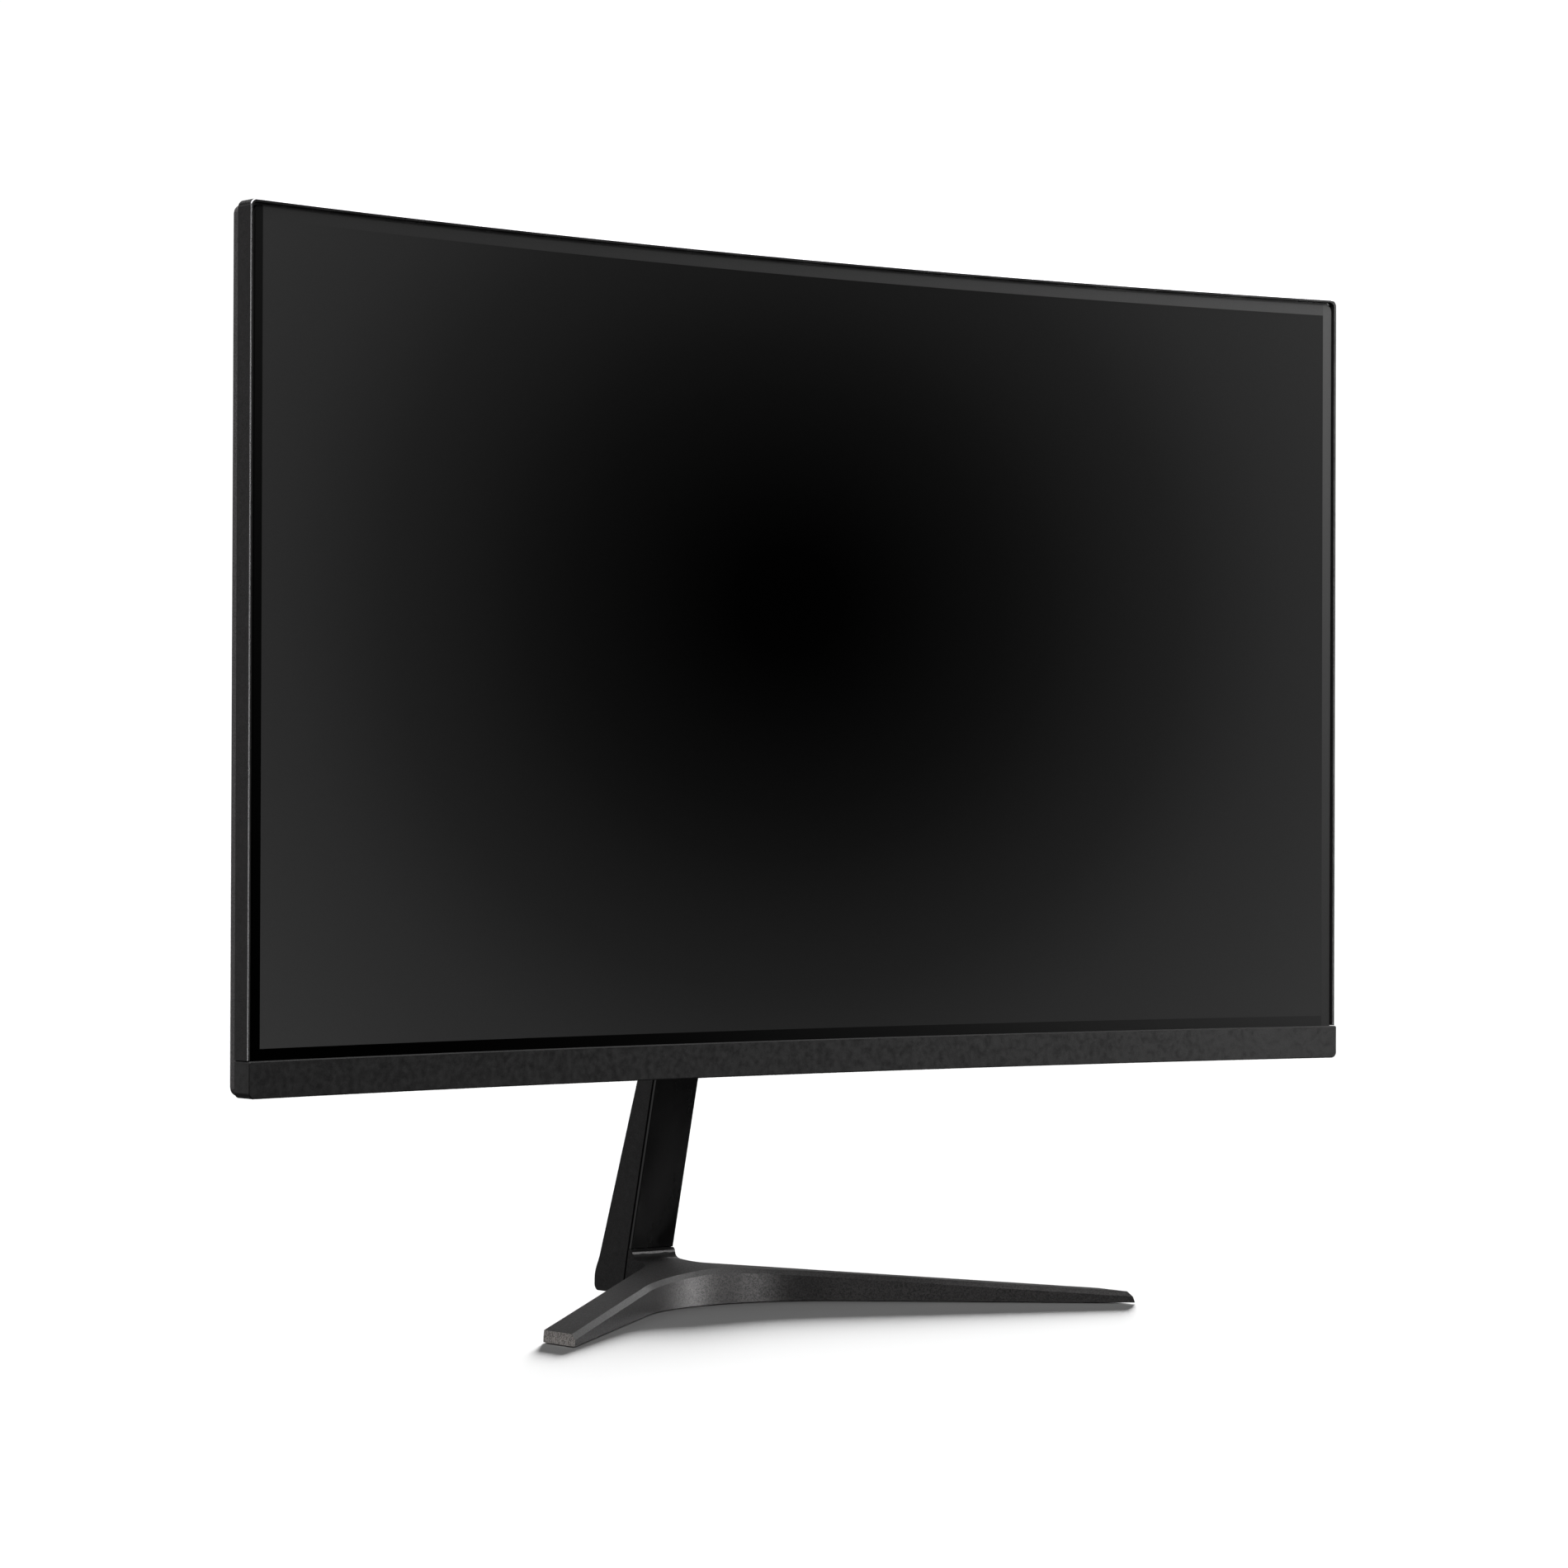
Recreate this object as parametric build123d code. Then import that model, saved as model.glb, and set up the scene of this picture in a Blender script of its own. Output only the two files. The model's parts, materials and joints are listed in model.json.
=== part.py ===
from build123d import *
import os
from math import atan, cos, degrees, sin

os.makedirs("parts", exist_ok=True)

# ---------------------------------------------------------------------------
# Frame: +Z up from the desk, +X to the right as the viewer sees it, -Y towards
# the viewer. The origin is on the desk under the middle of the whole object.
# The screen is a cylinder about an upright axis in front of it. Two measures
# place a head piece: "arc" is a length along the curve from the middle, and
# "depth" is a distance behind the front surface of the screen.
# ---------------------------------------------------------------------------

# Screen
SCREEN_RADIUS = 1500.0
SCREEN_Y = -38.8
SCREEN_Z = 258.2
PICTURE_HALF_HEIGHT = 146.65
CELL_HALF_ARC = 265.1
CELL_BORDER_TOP = 4.9
CELL_BELOW_PICTURE = 6.5
CELL_THICKNESS = 1.2

# Head outline, all heights above the desk
HOUSING_HALF_WIDTH = 265.6
HOUSING_TOP = SCREEN_Z + 153.4
CHIN_TOP = SCREEN_Z - 150.85
CHIN_BOTTOM = SCREEN_Z - 164.2
FRAME_BOTTOM = SCREEN_Z - 154.8
CORNER_RADIUS = 2.8
CELL_CORNER_RADIUS = 3.4
CHIN_CORNER_RADIUS = 2.3
FRAME_FRONT = -1.0
FRAME_REAR = 8.0
RIM_WIDTH = 1.2
SIDE_WALL = 1.6
CHIN_FRONT = -2.2
CHIN_LIP = 1.7
CHIN_WALL = 1.6

# Rear cover
COVER_FRONT = 8.4
COVER_REAR = 13.5
COVER_WALL = 1.8
COVER_INSET = 1.2
COVER_TOP = SCREEN_Z + 152.4
COVER_BOTTOM = SCREEN_Z - 163.8
COVER_EDGE_RADIUS = 2.4
BULGE_REAR_Y = 3.2
BULGE_ROOT_Y = SCREEN_Y - 14.0
BULGE_BOTTOM = 122.0
BULGE_ROOT_HALF_WIDTH = 232.0
BULGE_ROOT_TOP = 352.0
BULGE_REAR_HALF_WIDTH = 171.0
BULGE_REAR_TOP = 268.0
BULGE_CORNER_RADIUS = 12.0
BULGE_EDGE_RADIUS = 3.5

# Tilt hinge, its axis parallel to X
HINGE_Y = 20.2
HINGE_Z = 196.0
HINGE_PIN_RADIUS = 3.0
HINGE_RUNNING_GAP = 0.05
HINGE_FIXED_GAP = 0.02
AXIAL_GAP = 0.3
FIXED_EAR_INNER = 9.5
FIXED_EAR_THICKNESS = 3.0
FRICTION_WASHER_THICKNESS = 0.8
MOVING_EAR_THICKNESS = 2.5
DISC_SPRING_THICKNESS = 0.6
BARREL_RADIUS = 13.5
BARREL_HALF_LENGTH = 26.0
BARREL_WALL = 1.8

# Stand mounting socket and free wall-mount pattern, both centred on the hinge height
POCKET_SIZE = 58.0
POCKET_DEPTH = 4.0
MOUNT_PLATE_SIZE = 54.0
MOUNT_PLATE_THICKNESS = 3.0
MOUNT_SCREW_OFFSET = 22.0
VESA_SPACING = 75.0
VESA_THREAD_RADIUS = 2.0
VESA_BUSH_RADIUS = 4.0
VESA_BUSH_LENGTH = 12.0
MOUNT_BRACKET_HALF = 46.0

# Column, a leaning blade: offsets run along Y
COLUMN_HALF_WIDTH = 11.0
COLUMN_PLATE_HALF_WIDTH = 10.5
COLUMN_PLATE_BOTTOM = 19.3
COLUMN_PLATE_THICKNESS = 1.6
COLUMN_GROOVE = 0.45
COLUMN_FRONT_Y = 57.2
COLUMN_FRONT_LEAN = 0.2435
COLUMN_REAR_Y = 80.9
COLUMN_REAR_Z = 8.7
COLUMN_REAR_LEAN = 0.3541
COLUMN_BLADE_Z = 98.0
COLUMN_WALL = 1.8
COLUMN_SHELL_BOTTOM = 1.0
SHELL_FOOT_Y = 63.2
SHELL_HEEL_Y = 82.1
CORE_HALF_WIDTH = 8.3
CORE_WEB_FRONT = 2.7
CORE_WEB_REAR = 4.7
PLATE_SCREW_HEIGHTS = (34, 80, 126)
BASE_SCREW_Y = 70.0
BASE_SCREW_HEAD_RADIUS = 5.8

# Base, a V of two legs with a neck behind it
BASE_BOTTOM = 0.4
LEG_TIP_X = 137.2
LEG_TIP_FRONT_Y = -81.9
LEG_SLOPE = 0.848
LEG_DEPTH_ALONG_Y = 20.0
CROTCH_Y = 11.2
CROTCH_RADIUS = 74.0
NECK_HALF_WIDTH = 10.7
NECK_FLARE_RADIUS = 14.0
NECK_TOP = 19.1
NECK_BEVEL = 1.0
NECK_SWEEP_LENGTH = 24.0
NECK_SWEEP_LOW = 12.7
NECK_SWEEP_KNEE = 6.5
NECK_SWEEP_KNEE_Z = 14.5
NECK_REAR_Y = 64.0
RIDGE_TOP = 14.8
RIDGE_HALF_WIDTH = 12.0
TIP_TOP = 4.7
TIP_CORNER_RADIUS = 1.4
END_LEAN = 1.1
CHAMFER = 1.9
TONGUE_HALF_WIDTH = 8.2
TONGUE_REAR_Y = 76.3
TONGUE_TOP = 15.8
LEG_FOOT_RADIUS = 4.5
HUB_FOOT_RADIUS = 5.0
FOOT_PLACES = [(-128, -66, LEG_FOOT_RADIUS), (128, -66, LEG_FOOT_RADIUS),
               (-62, -11, LEG_FOOT_RADIUS), (62, -11, LEG_FOOT_RADIUS),
               (-12, 36, HUB_FOOT_RADIUS), (12, 36, HUB_FOOT_RADIUS)]


# ---------------------------------------------------------------------------
# Helpers
# ---------------------------------------------------------------------------

def save(node, shape):
    """Write one sub-part."""
    export_step(shape, f"parts/{node}.step")


def box(x_low, x_high, y_low, y_high, z_low, z_high):
    """A box from its limits."""
    size = (x_high - x_low, y_high - y_low, z_high - z_low)
    middle = ((x_low + x_high) / 2, (y_low + y_high) / 2, (z_low + z_high) / 2)
    return Pos(*middle) * Box(*size)


def rod(start, radius, length, axis="Z"):
    """A cylinder from its starting point along a row axis."""
    turns = {"X": (0, 90, 0), "Y": (-90, 0, 0), "Z": (0, 0, 0)}
    align = (Align.CENTER, Align.CENTER, Align.MIN)
    return Pos(*start) * Rotation(*turns[axis]) * Cylinder(radius, length, align=align)


def ring(start, outer, inner, length, axis="X"):
    """A washer or tube from its starting point along a row axis."""
    return rod(start, outer, length, axis) - rod(start, inner, length, axis)


def on_arc(arc, depth):
    """The X and Y of a place on the curved stack."""
    turn = arc / SCREEN_RADIUS
    reach = SCREEN_RADIUS + depth
    return reach * sin(turn), SCREEN_Y - SCREEN_RADIUS + reach * cos(turn)


def arc_place(arc, depth, z):
    """A location on the stack, its Y pointing straight back and its X along the curve."""
    x, y = on_arc(arc, depth)
    return Pos(x, y, z) * Rot(0, 0, -degrees(arc / SCREEN_RADIUS))


def band(arc_low, arc_high, front, rear, z_low, z_high):
    """A curved slab between two arc lengths, two depths and two heights."""
    arc_mid = (arc_low + arc_high) / 2
    rear_line = ThreePointArc(on_arc(arc_low, rear), on_arc(arc_mid, rear), on_arc(arc_high, rear))
    front_line = ThreePointArc(on_arc(arc_high, front), on_arc(arc_mid, front), on_arc(arc_low, front))
    right_end = Line(on_arc(arc_high, rear), on_arc(arc_high, front))
    left_end = Line(on_arc(arc_low, front), on_arc(arc_low, rear))
    face = make_face([rear_line, right_end, front_line, left_end])
    return Pos(0, 0, z_low) * extrude(face, z_high - z_low)


def whole_band(front, rear):
    """A curved slab larger than the head, for cutting upright outlines to depth."""
    reach = HOUSING_HALF_WIDTH + 20
    return band(-reach, reach, front, rear, 0, HOUSING_TOP + 40)


def upright(half_width, z_low, z_high, top_radius=0.0, bottom_radius=0.0):
    """A front-view rectangle with rounded corners, run through the whole depth."""
    corners = [(-half_width, z_low), (half_width, z_low), (half_width, z_high), (-half_width, z_high)]
    face = make_face(Polyline(*corners, close=True))
    by_height = face.vertices().sort_by(Axis.Y)
    if bottom_radius:
        face = fillet(by_height[:2], bottom_radius)
    if top_radius:
        face = fillet(face.vertices().sort_by(Axis.Y)[-2:], top_radius)
    return Plane.XZ * extrude(face, 200, both=True)


def sheet(half_width, z_low, z_high, front, rear, top_radius=0.0, bottom_radius=0.0):
    """A curved sheet with straight sides in front view."""
    outline = upright(half_width, z_low, z_high, top_radius, bottom_radius)
    return outline & whole_band(front, rear)


def side_profile(half_width, line):
    """A closed line drawn in Y and Z, thickened both ways along X."""
    return extrude(Plane.YZ * make_face(line), half_width, both=True)


def mirrored(shape):
    """A shape and its mirror image on the other side of the middle."""
    return shape + mirror(shape, about=Plane.YZ)


# ---------------------------------------------------------------------------
# Display panel
# ---------------------------------------------------------------------------

CELL_TOP = SCREEN_Z + PICTURE_HALF_HEIGHT + CELL_BORDER_TOP
CELL_BOTTOM = SCREEN_Z - PICTURE_HALF_HEIGHT - CELL_BELOW_PICTURE
CELL_HALF_WIDTH = on_arc(CELL_HALF_ARC, 0)[0]
POLARISER_MARGIN = 0.7
FRAME_POCKET_HALF_WIDTH = HOUSING_HALF_WIDTH - RIM_WIDTH
LIP_FRONT = 1.5
LIP_REAR = 2.4
LIP_WIDTH = 7.0
CHASSIS_FRONT = 2.6
CHASSIS_SHEET = 0.8
CHASSIS_REAR = FRAME_REAR
CHASSIS_TOP = SCREEN_Z + 151.6
CHASSIS_BOTTOM = SCREEN_Z - 153.3
CHASSIS_HALF_WIDTH = HOUSING_HALF_WIDTH - SIDE_WALL - 0.4


def make_front_polariser():
    """The anti-glare film on the front of the cell."""
    half = CELL_HALF_WIDTH - POLARISER_MARGIN
    return sheet(half, CELL_BOTTOM + 0.6, CELL_TOP - POLARISER_MARGIN, -0.25, -0.03, CELL_CORNER_RADIUS - 0.5)


def make_lcd_cell():
    """Two bonded glass plates that hold the liquid crystal."""
    return sheet(CELL_HALF_WIDTH, CELL_BOTTOM, CELL_TOP, 0.0, CELL_THICKNESS, CELL_CORNER_RADIUS)


def make_mid_frame():
    """The frame whose front edge is the thin rim. Its lip carries the cell."""
    outer = sheet(HOUSING_HALF_WIDTH, FRAME_BOTTOM, HOUSING_TOP, FRAME_FRONT, FRAME_REAR, CORNER_RADIUS)
    outer = chamfer(rim_edges(outer), 0.35)
    pocket_low = FRAME_BOTTOM - 1
    pocket = sheet(FRAME_POCKET_HALF_WIDTH, pocket_low, HOUSING_TOP - RIM_WIDTH,
                   FRAME_FRONT - 1, LIP_FRONT, CORNER_RADIUS - 1)
    window = sheet(CELL_HALF_WIDTH - LIP_WIDTH, CHASSIS_BOTTOM + LIP_WIDTH, CHASSIS_TOP - LIP_WIDTH,
                   LIP_FRONT - 1, LIP_REAR + 1)
    rear_pocket = sheet(HOUSING_HALF_WIDTH - SIDE_WALL, CHASSIS_BOTTOM - 0.3, HOUSING_TOP - SIDE_WALL,
                        LIP_REAR, FRAME_REAR + 1, CORNER_RADIUS - 1.4)
    frame = outer - pocket - window - rear_pocket
    chin_room = box(HOUSING_HALF_WIDTH - 2.2, HOUSING_HALF_WIDTH + 1, -200, 100, 0, CHIN_TOP + 0.15)
    return frame - mirrored(chin_room)


def rim_edges(solid):
    """The outer front edges of a head shell, along its sides and top."""
    front_face = solid.faces().filter_by(GeomType.CYLINDER).sort_by(Axis.Y)[0]
    return [e for e in front_face.edges() if e.center().Z > FRAME_BOTTOM + 1]


def make_chin_strip():
    """The lower bezel: a front lip, a floor and two end walls."""
    top = CHIN_TOP
    outer = sheet(HOUSING_HALF_WIDTH, CHIN_BOTTOM, top, CHIN_FRONT, FRAME_REAR, 0.8, CHIN_CORNER_RADIUS)
    front_face = outer.faces().filter_by(GeomType.CYLINDER).sort_by(Axis.Y)[0]
    outer = chamfer(front_face.edges(), 0.4)
    hollow = sheet(HOUSING_HALF_WIDTH - CHIN_WALL, CHIN_BOTTOM + CHIN_WALL, top + 1,
                   CHIN_FRONT + CHIN_LIP, FRAME_REAR + 1, 0, 1.2)
    lens_x, lens_y = on_arc(LENS_ARC, LENS_DEPTH)
    lens_hole = rod((lens_x, lens_y, CHIN_BOTTOM - 1), LENS_RADIUS + 0.1, 4)
    return outer - hollow - lens_hole


def make_optical_sheet(front, rear):
    """One film of the backlight stack."""
    half = CHASSIS_HALF_WIDTH - CHASSIS_SHEET - 1.0
    return sheet(half, SCREEN_Z - 148.6, CHASSIS_TOP - CHASSIS_SHEET - 0.8, front, rear)


def make_panel_chassis():
    """The steel tray behind the backlight, its edges folded forwards."""
    outer = sheet(CHASSIS_HALF_WIDTH, CHASSIS_BOTTOM, CHASSIS_TOP, CHASSIS_FRONT, CHASSIS_REAR, 1.2)
    inner = sheet(CHASSIS_HALF_WIDTH - CHASSIS_SHEET, CHASSIS_BOTTOM + CHASSIS_SHEET,
                  CHASSIS_TOP - CHASSIS_SHEET, CHASSIS_FRONT - 1, CHASSIS_REAR - CHASSIS_SHEET)
    tray = outer - inner
    for x in (-200, -120, 120, 200):
        for z in (190, 300):
            tray -= rod((x, SCREEN_Y - 40, z), 5, 80, "Y")
    return tray


LED_COUNT = 48
LED_PITCH = 10.6
LED_BAR_Z = SCREEN_Z - 152.0


def make_led_bar():
    """The strip of light sources that shines up into the light guide."""
    bar = band(-257, 257, 3.1, 6.1, LED_BAR_Z + 0.2, LED_BAR_Z + 1.0)
    first = -LED_PITCH * (LED_COUNT - 1) / 2
    for index in range(LED_COUNT):
        led = arc_place(first + index * LED_PITCH, 4.6, LED_BAR_Z + 1.7) * Box(3.6, 2.2, 1.4)
        bar += led
    return bar


def make_heat_spreader():
    """The aluminium angle that takes the heat from the LED bar to the chassis."""
    floor = band(-257, 257, 3.1, 7.0, LED_BAR_Z - 0.35, LED_BAR_Z + 0.15)
    back = band(-257, 257, 6.3, 7.0, LED_BAR_Z - 0.35, LED_BAR_Z + 30)
    return floor + back


FILM_ARCS = [-140 + 56 * n for n in range(6)]
FILM_WIDTH = 28.0
FILM_THICKNESS = 0.12
FILM_FLOOR = SCREEN_Z - 156.2
FILM_FRONT = 1.3
FILM_REAR = 9.0


def make_bonding_films():
    """Six flexible films that wrap from the cell round to the source boards."""
    floor_top = FILM_FLOOR + FILM_THICKNESS
    outline = Polyline((FILM_FRONT, CELL_BOTTOM + 2.0), (FILM_FRONT, FILM_FLOOR), (FILM_REAR, FILM_FLOOR),
                       (FILM_REAR, FILM_FLOOR + 12), (FILM_REAR - FILM_THICKNESS, FILM_FLOOR + 12),
                       (FILM_REAR - FILM_THICKNESS, floor_top), (FILM_FRONT + FILM_THICKNESS, floor_top),
                       (FILM_FRONT + FILM_THICKNESS, CELL_BOTTOM + 2.0), close=True)
    film = extrude(Plane.YZ * make_face(outline), FILM_WIDTH / 2, both=True)
    return Compound([arc_place(arc, 0, 0) * film for arc in FILM_ARCS])


def make_source_boards():
    """Two long boards behind the lower edge of the chassis."""
    low = SCREEN_Z - 150.0
    left = band(-162, -6, 9.15, 10.15, low, low + 12)
    right = band(6, 162, 9.15, 10.15, low, low + 12)
    connector = arc_place(-100, 10.65, low + 8) * Box(24, 1.0, 5)
    return Compound([left + connector, right])


# ---------------------------------------------------------------------------
# Rear cover
# ---------------------------------------------------------------------------

LOCK_SLOT_X = -112.0
LOCK_SLOT_Y = SCREEN_Y + 31.0
LOCK_SLOT_HALF_LENGTH = 3.5
LOCK_SLOT_HALF_WIDTH = 1.5
VENT_COUNT = 27
VENT_PITCH = 7.0
VENT_WIDTH = 2.6
COVER_SCREWS = [(-159, 140), (159, 140), (-159, 252), (159, 252)]
COVER_BOSS_RADIUS = 4.4
COVER_BOSS_BORE = 3.4
COVER_BOSS_FRONT_Y = SCREEN_Y + 14.0


def bulge(inset):
    """The deep middle of the cover, a block that narrows towards its flat rear face."""
    rear_y = BULGE_REAR_Y - inset
    rear_face = block_section(rear_y, BULGE_REAR_HALF_WIDTH - inset, BULGE_BOTTOM + inset,
                              BULGE_REAR_TOP - inset)
    root_face = block_section(BULGE_ROOT_Y, BULGE_ROOT_HALF_WIDTH - inset * 1.3, BULGE_BOTTOM + inset,
                              BULGE_ROOT_TOP - inset * 1.3)
    block = loft([root_face, rear_face])
    slanted = [e for e in block.edges() if abs(e.position_at(0).Y - e.position_at(1).Y) > 10]
    block = fillet(slanted, BULGE_CORNER_RADIUS - inset)
    rear_edges = block.faces().sort_by(Axis.Y)[-1].edges()
    if not inset:
        block = fillet(rear_edges, BULGE_EDGE_RADIUS)
    return block


def block_section(y, half_width, z_low, z_high):
    """A rectangle in front view at a given depth."""
    corners = [(-half_width, y, z_low), (half_width, y, z_low),
               (half_width, y, z_high), (-half_width, y, z_high)]
    return make_face(Polyline(*corners, close=True))


def cover_outside():
    """The outer form: a thin curved tray joined to the bulge."""
    half = HOUSING_HALF_WIDTH - COVER_INSET
    tray = sheet(half, COVER_BOTTOM, COVER_TOP, COVER_FRONT, COVER_REAR, 3.2, 3.2)
    rear_face = tray.faces().filter_by(GeomType.CYLINDER).sort_by(Axis.Y)[-1]
    tray = fillet(rear_face.edges(), COVER_EDGE_RADIUS)
    middle = bulge(0) & whole_band(COVER_FRONT, 90)
    return tray + middle


def cover_inside():
    """The hollow of the cover, open at the front."""
    half = HOUSING_HALF_WIDTH - COVER_INSET - COVER_WALL
    tray = sheet(half, COVER_BOTTOM + COVER_WALL, COVER_TOP - COVER_WALL, COVER_FRONT - 2,
                 COVER_REAR - COVER_WALL, 1.6, 1.6)
    middle = bulge(COVER_WALL) & whole_band(COVER_FRONT - 2, 90)
    return tray + middle


def cover_screw_bosses():
    """Deep tubes that take the cover screws down to the chassis."""
    length = BULGE_REAR_Y - 1 - COVER_BOSS_FRONT_Y
    tubes = [rod((x, COVER_BOSS_FRONT_Y, z), COVER_BOSS_RADIUS, length, "Y") for x, z in COVER_SCREWS]
    return tubes


def make_rear_cover():
    """The rear cover with its vents, sockets, screw tubes and stand pocket."""
    shell = cover_outside() - cover_inside()
    floor_y = BULGE_REAR_Y - POCKET_DEPTH
    half = POCKET_SIZE / 2
    wall = COVER_WALL
    well = box(-half - wall, half + wall, floor_y - wall, BULGE_REAR_Y - 0.5,
               HINGE_Z - half - wall, HINGE_Z + half + wall)
    shell += well
    for tube in cover_screw_bosses():
        shell += tube
    pocket = box(-half, half, floor_y, BULGE_REAR_Y + 5, HINGE_Z - half, HINGE_Z + half)
    pocket = fillet(pocket.edges().filter_by(Axis.Y), 4)
    shell -= pocket
    for x, z in COVER_SCREWS:
        shell -= rod((x, COVER_BOSS_FRONT_Y + 2, z), COVER_BOSS_BORE, 60, "Y")
        shell -= rod((x, COVER_BOSS_FRONT_Y - 2, z), 1.7, 10, "Y")
    for x, z in mount_screw_places():
        shell -= rod((x, floor_y - 5, z), 2.3, 20, "Y")
    for x, z in vesa_places():
        shell -= rod((x, floor_y - 5, z), VESA_BUSH_RADIUS + 0.2, 20, "Y")
    shell -= vents()
    shell -= socket_holes()
    shell -= key_slots()
    shell -= lock_slot(BULGE_BOTTOM - 1, BULGE_BOTTOM + COVER_WALL + 1)
    return shell


def mount_screw_places():
    """Where the four stand screws go, as X and Z."""
    step = MOUNT_SCREW_OFFSET
    return [(x, HINGE_Z + z) for x in (-step, step) for z in (-step, step)]


def vesa_places():
    """Where the four free threaded bushes are, as X and Z."""
    step = VESA_SPACING / 2
    return [(x, HINGE_Z + z) for x in (-step, step) for z in (-step, step)]


def vents():
    """A row of upright slots through the sloping top of the bulge."""
    first = -VENT_PITCH * (VENT_COUNT - 1) / 2
    slots = [box(x - VENT_WIDTH / 2, x + VENT_WIDTH / 2, SCREEN_Y + 16, BULGE_REAR_Y + 5, 284, 306)
             for x in [first + VENT_PITCH * n for n in range(VENT_COUNT)]]
    return Compound(slots)


# ---------------------------------------------------------------------------
# Sockets, all facing down through the underside of the bulge
# ---------------------------------------------------------------------------

BOARD_FRONT_Y = SCREEN_Y + 14.0
BOARD_THICKNESS = 1.6
BOARD_REAR_Y = BOARD_FRONT_Y + BOARD_THICKNESS
SOCKET_MOUTH_Z = BULGE_BOTTOM + 0.4
HDMI_SIZE = (15.0, 5.6, 11.5)
HDMI_XS = (-76.0, -98.0)
DP_SIZE = (17.0, 5.2, 12.0)
DP_X = -120.0
AUDIO_X = -139.0
AUDIO_RADIUS = 3.0
INLET_X = 96.0
INLET_Y = SCREEN_Y + 27.4
INLET_WIDTH = 27.4
INLET_HEIGHT = 19.8
INLET_LENGTH = 24.0
INLET_CAVITY_WIDTH = 24.6
INLET_CAVITY_HEIGHT = 16.4
INLET_CAVITY_DEPTH = 16.0


def socket_shell(x, y_low, size, wall, tongue):
    """A metal socket open at its lower end, with the contact tongue inside."""
    width, height, length = size
    y_high = y_low + height
    z_low = SOCKET_MOUTH_Z
    outer = box(x - width / 2, x + width / 2, y_low, y_high, z_low, z_low + length)
    outer = chamfer(outer.edges().filter_by(Axis.Z).sort_by(Axis.Y)[:2], 1.2)
    inner = box(x - width / 2 + wall, x + width / 2 - wall, y_low + wall, y_high - wall,
                z_low - 1, z_low + length - 1.5)
    inner = chamfer(inner.edges().filter_by(Axis.Z).sort_by(Axis.Y)[:2], 0.9)
    tongue_width, tongue_height = tongue
    y_mid = (y_low + y_high) / 2
    blade = box(x - tongue_width / 2, x + tongue_width / 2, y_mid - tongue_height / 2,
                y_mid + tongue_height / 2, z_low + 1.2, z_low + length - 1)
    return outer - inner + blade


def make_hdmi_sockets():
    """Two video sockets of the trapezoid kind."""
    return Compound([socket_shell(x, BOARD_REAR_Y, HDMI_SIZE, 0.5, (10.4, 0.9)) for x in HDMI_XS])


def make_displayport_socket():
    """One video socket of the wider kind."""
    return socket_shell(DP_X, BOARD_REAR_Y, DP_SIZE, 0.5, (13.2, 1.0))


def make_audio_socket():
    """The headphone socket."""
    y = BOARD_REAR_Y + 3.2
    body = box(AUDIO_X - 4, AUDIO_X + 4, BOARD_REAR_Y, BOARD_REAR_Y + 6.4,
               SOCKET_MOUTH_Z + 2, SOCKET_MOUTH_Z + 14)
    collar = rod((AUDIO_X, y, SOCKET_MOUTH_Z), AUDIO_RADIUS, 4)
    return body + collar - rod((AUDIO_X, y, SOCKET_MOUTH_Z - 1), 1.8, 13)


def make_mains_inlet():
    """The three-pin mains inlet, a hollow block with a chamfered cavity."""
    z_low = SOCKET_MOUTH_Z
    body = box(INLET_X - INLET_WIDTH / 2, INLET_X + INLET_WIDTH / 2, INLET_Y - INLET_HEIGHT / 2,
               INLET_Y + INLET_HEIGHT / 2, z_low, z_low + INLET_LENGTH)
    body = fillet(body.edges().filter_by(Axis.Z), 1.5)
    hollow = box(INLET_X - INLET_CAVITY_WIDTH / 2, INLET_X + INLET_CAVITY_WIDTH / 2,
                 INLET_Y - INLET_CAVITY_HEIGHT / 2, INLET_Y + INLET_CAVITY_HEIGHT / 2,
                 z_low - 1, z_low + INLET_CAVITY_DEPTH)
    hollow = chamfer(hollow.edges().filter_by(Axis.Z).sort_by(Axis.Y)[:2], 4.5)
    body -= hollow
    for x, y in inlet_pin_places():
        body -= box(x - 2.1, x + 2.1, y - 1.1, y + 1.1, z_low + 10, z_low + INLET_LENGTH + 1)
    return body


def inlet_pin_places():
    """The middle of each mains pin, as X and Y."""
    return [(INLET_X - 7, INLET_Y + 2), (INLET_X, INLET_Y - 2), (INLET_X + 7, INLET_Y + 2)]


def make_mains_pins():
    """Three flat pins, from the cavity through the back of the inlet."""
    low = SOCKET_MOUTH_Z + 1.5
    return Compound([box(x - 2, x + 2, y - 1, y + 1, low, SOCKET_MOUTH_Z + INLET_LENGTH + 4)
                     for x, y in inlet_pin_places()])


def socket_holes():
    """Cut-outs in the underside of the cover for every socket."""
    low = BULGE_BOTTOM - 1
    high = BULGE_BOTTOM + COVER_WALL + 0.5
    gap = 0.25
    holes = []
    for x, size in [(HDMI_XS[0], HDMI_SIZE), (HDMI_XS[1], HDMI_SIZE), (DP_X, DP_SIZE)]:
        half = size[0] / 2 + gap
        holes.append(box(x - half, x + half, BOARD_REAR_Y - gap, BOARD_REAR_Y + size[1] + gap, low, high))
    holes.append(rod((AUDIO_X, BOARD_REAR_Y + 3.2, low), AUDIO_RADIUS + gap, high - low))
    inlet = box(INLET_X - INLET_WIDTH / 2 - gap, INLET_X + INLET_WIDTH / 2 + gap,
                INLET_Y - INLET_HEIGHT / 2 - gap, INLET_Y + INLET_HEIGHT / 2 + gap, low, high)
    holes.append(fillet(inlet.edges().filter_by(Axis.Z), 1.7))
    return Compound(holes)


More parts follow.
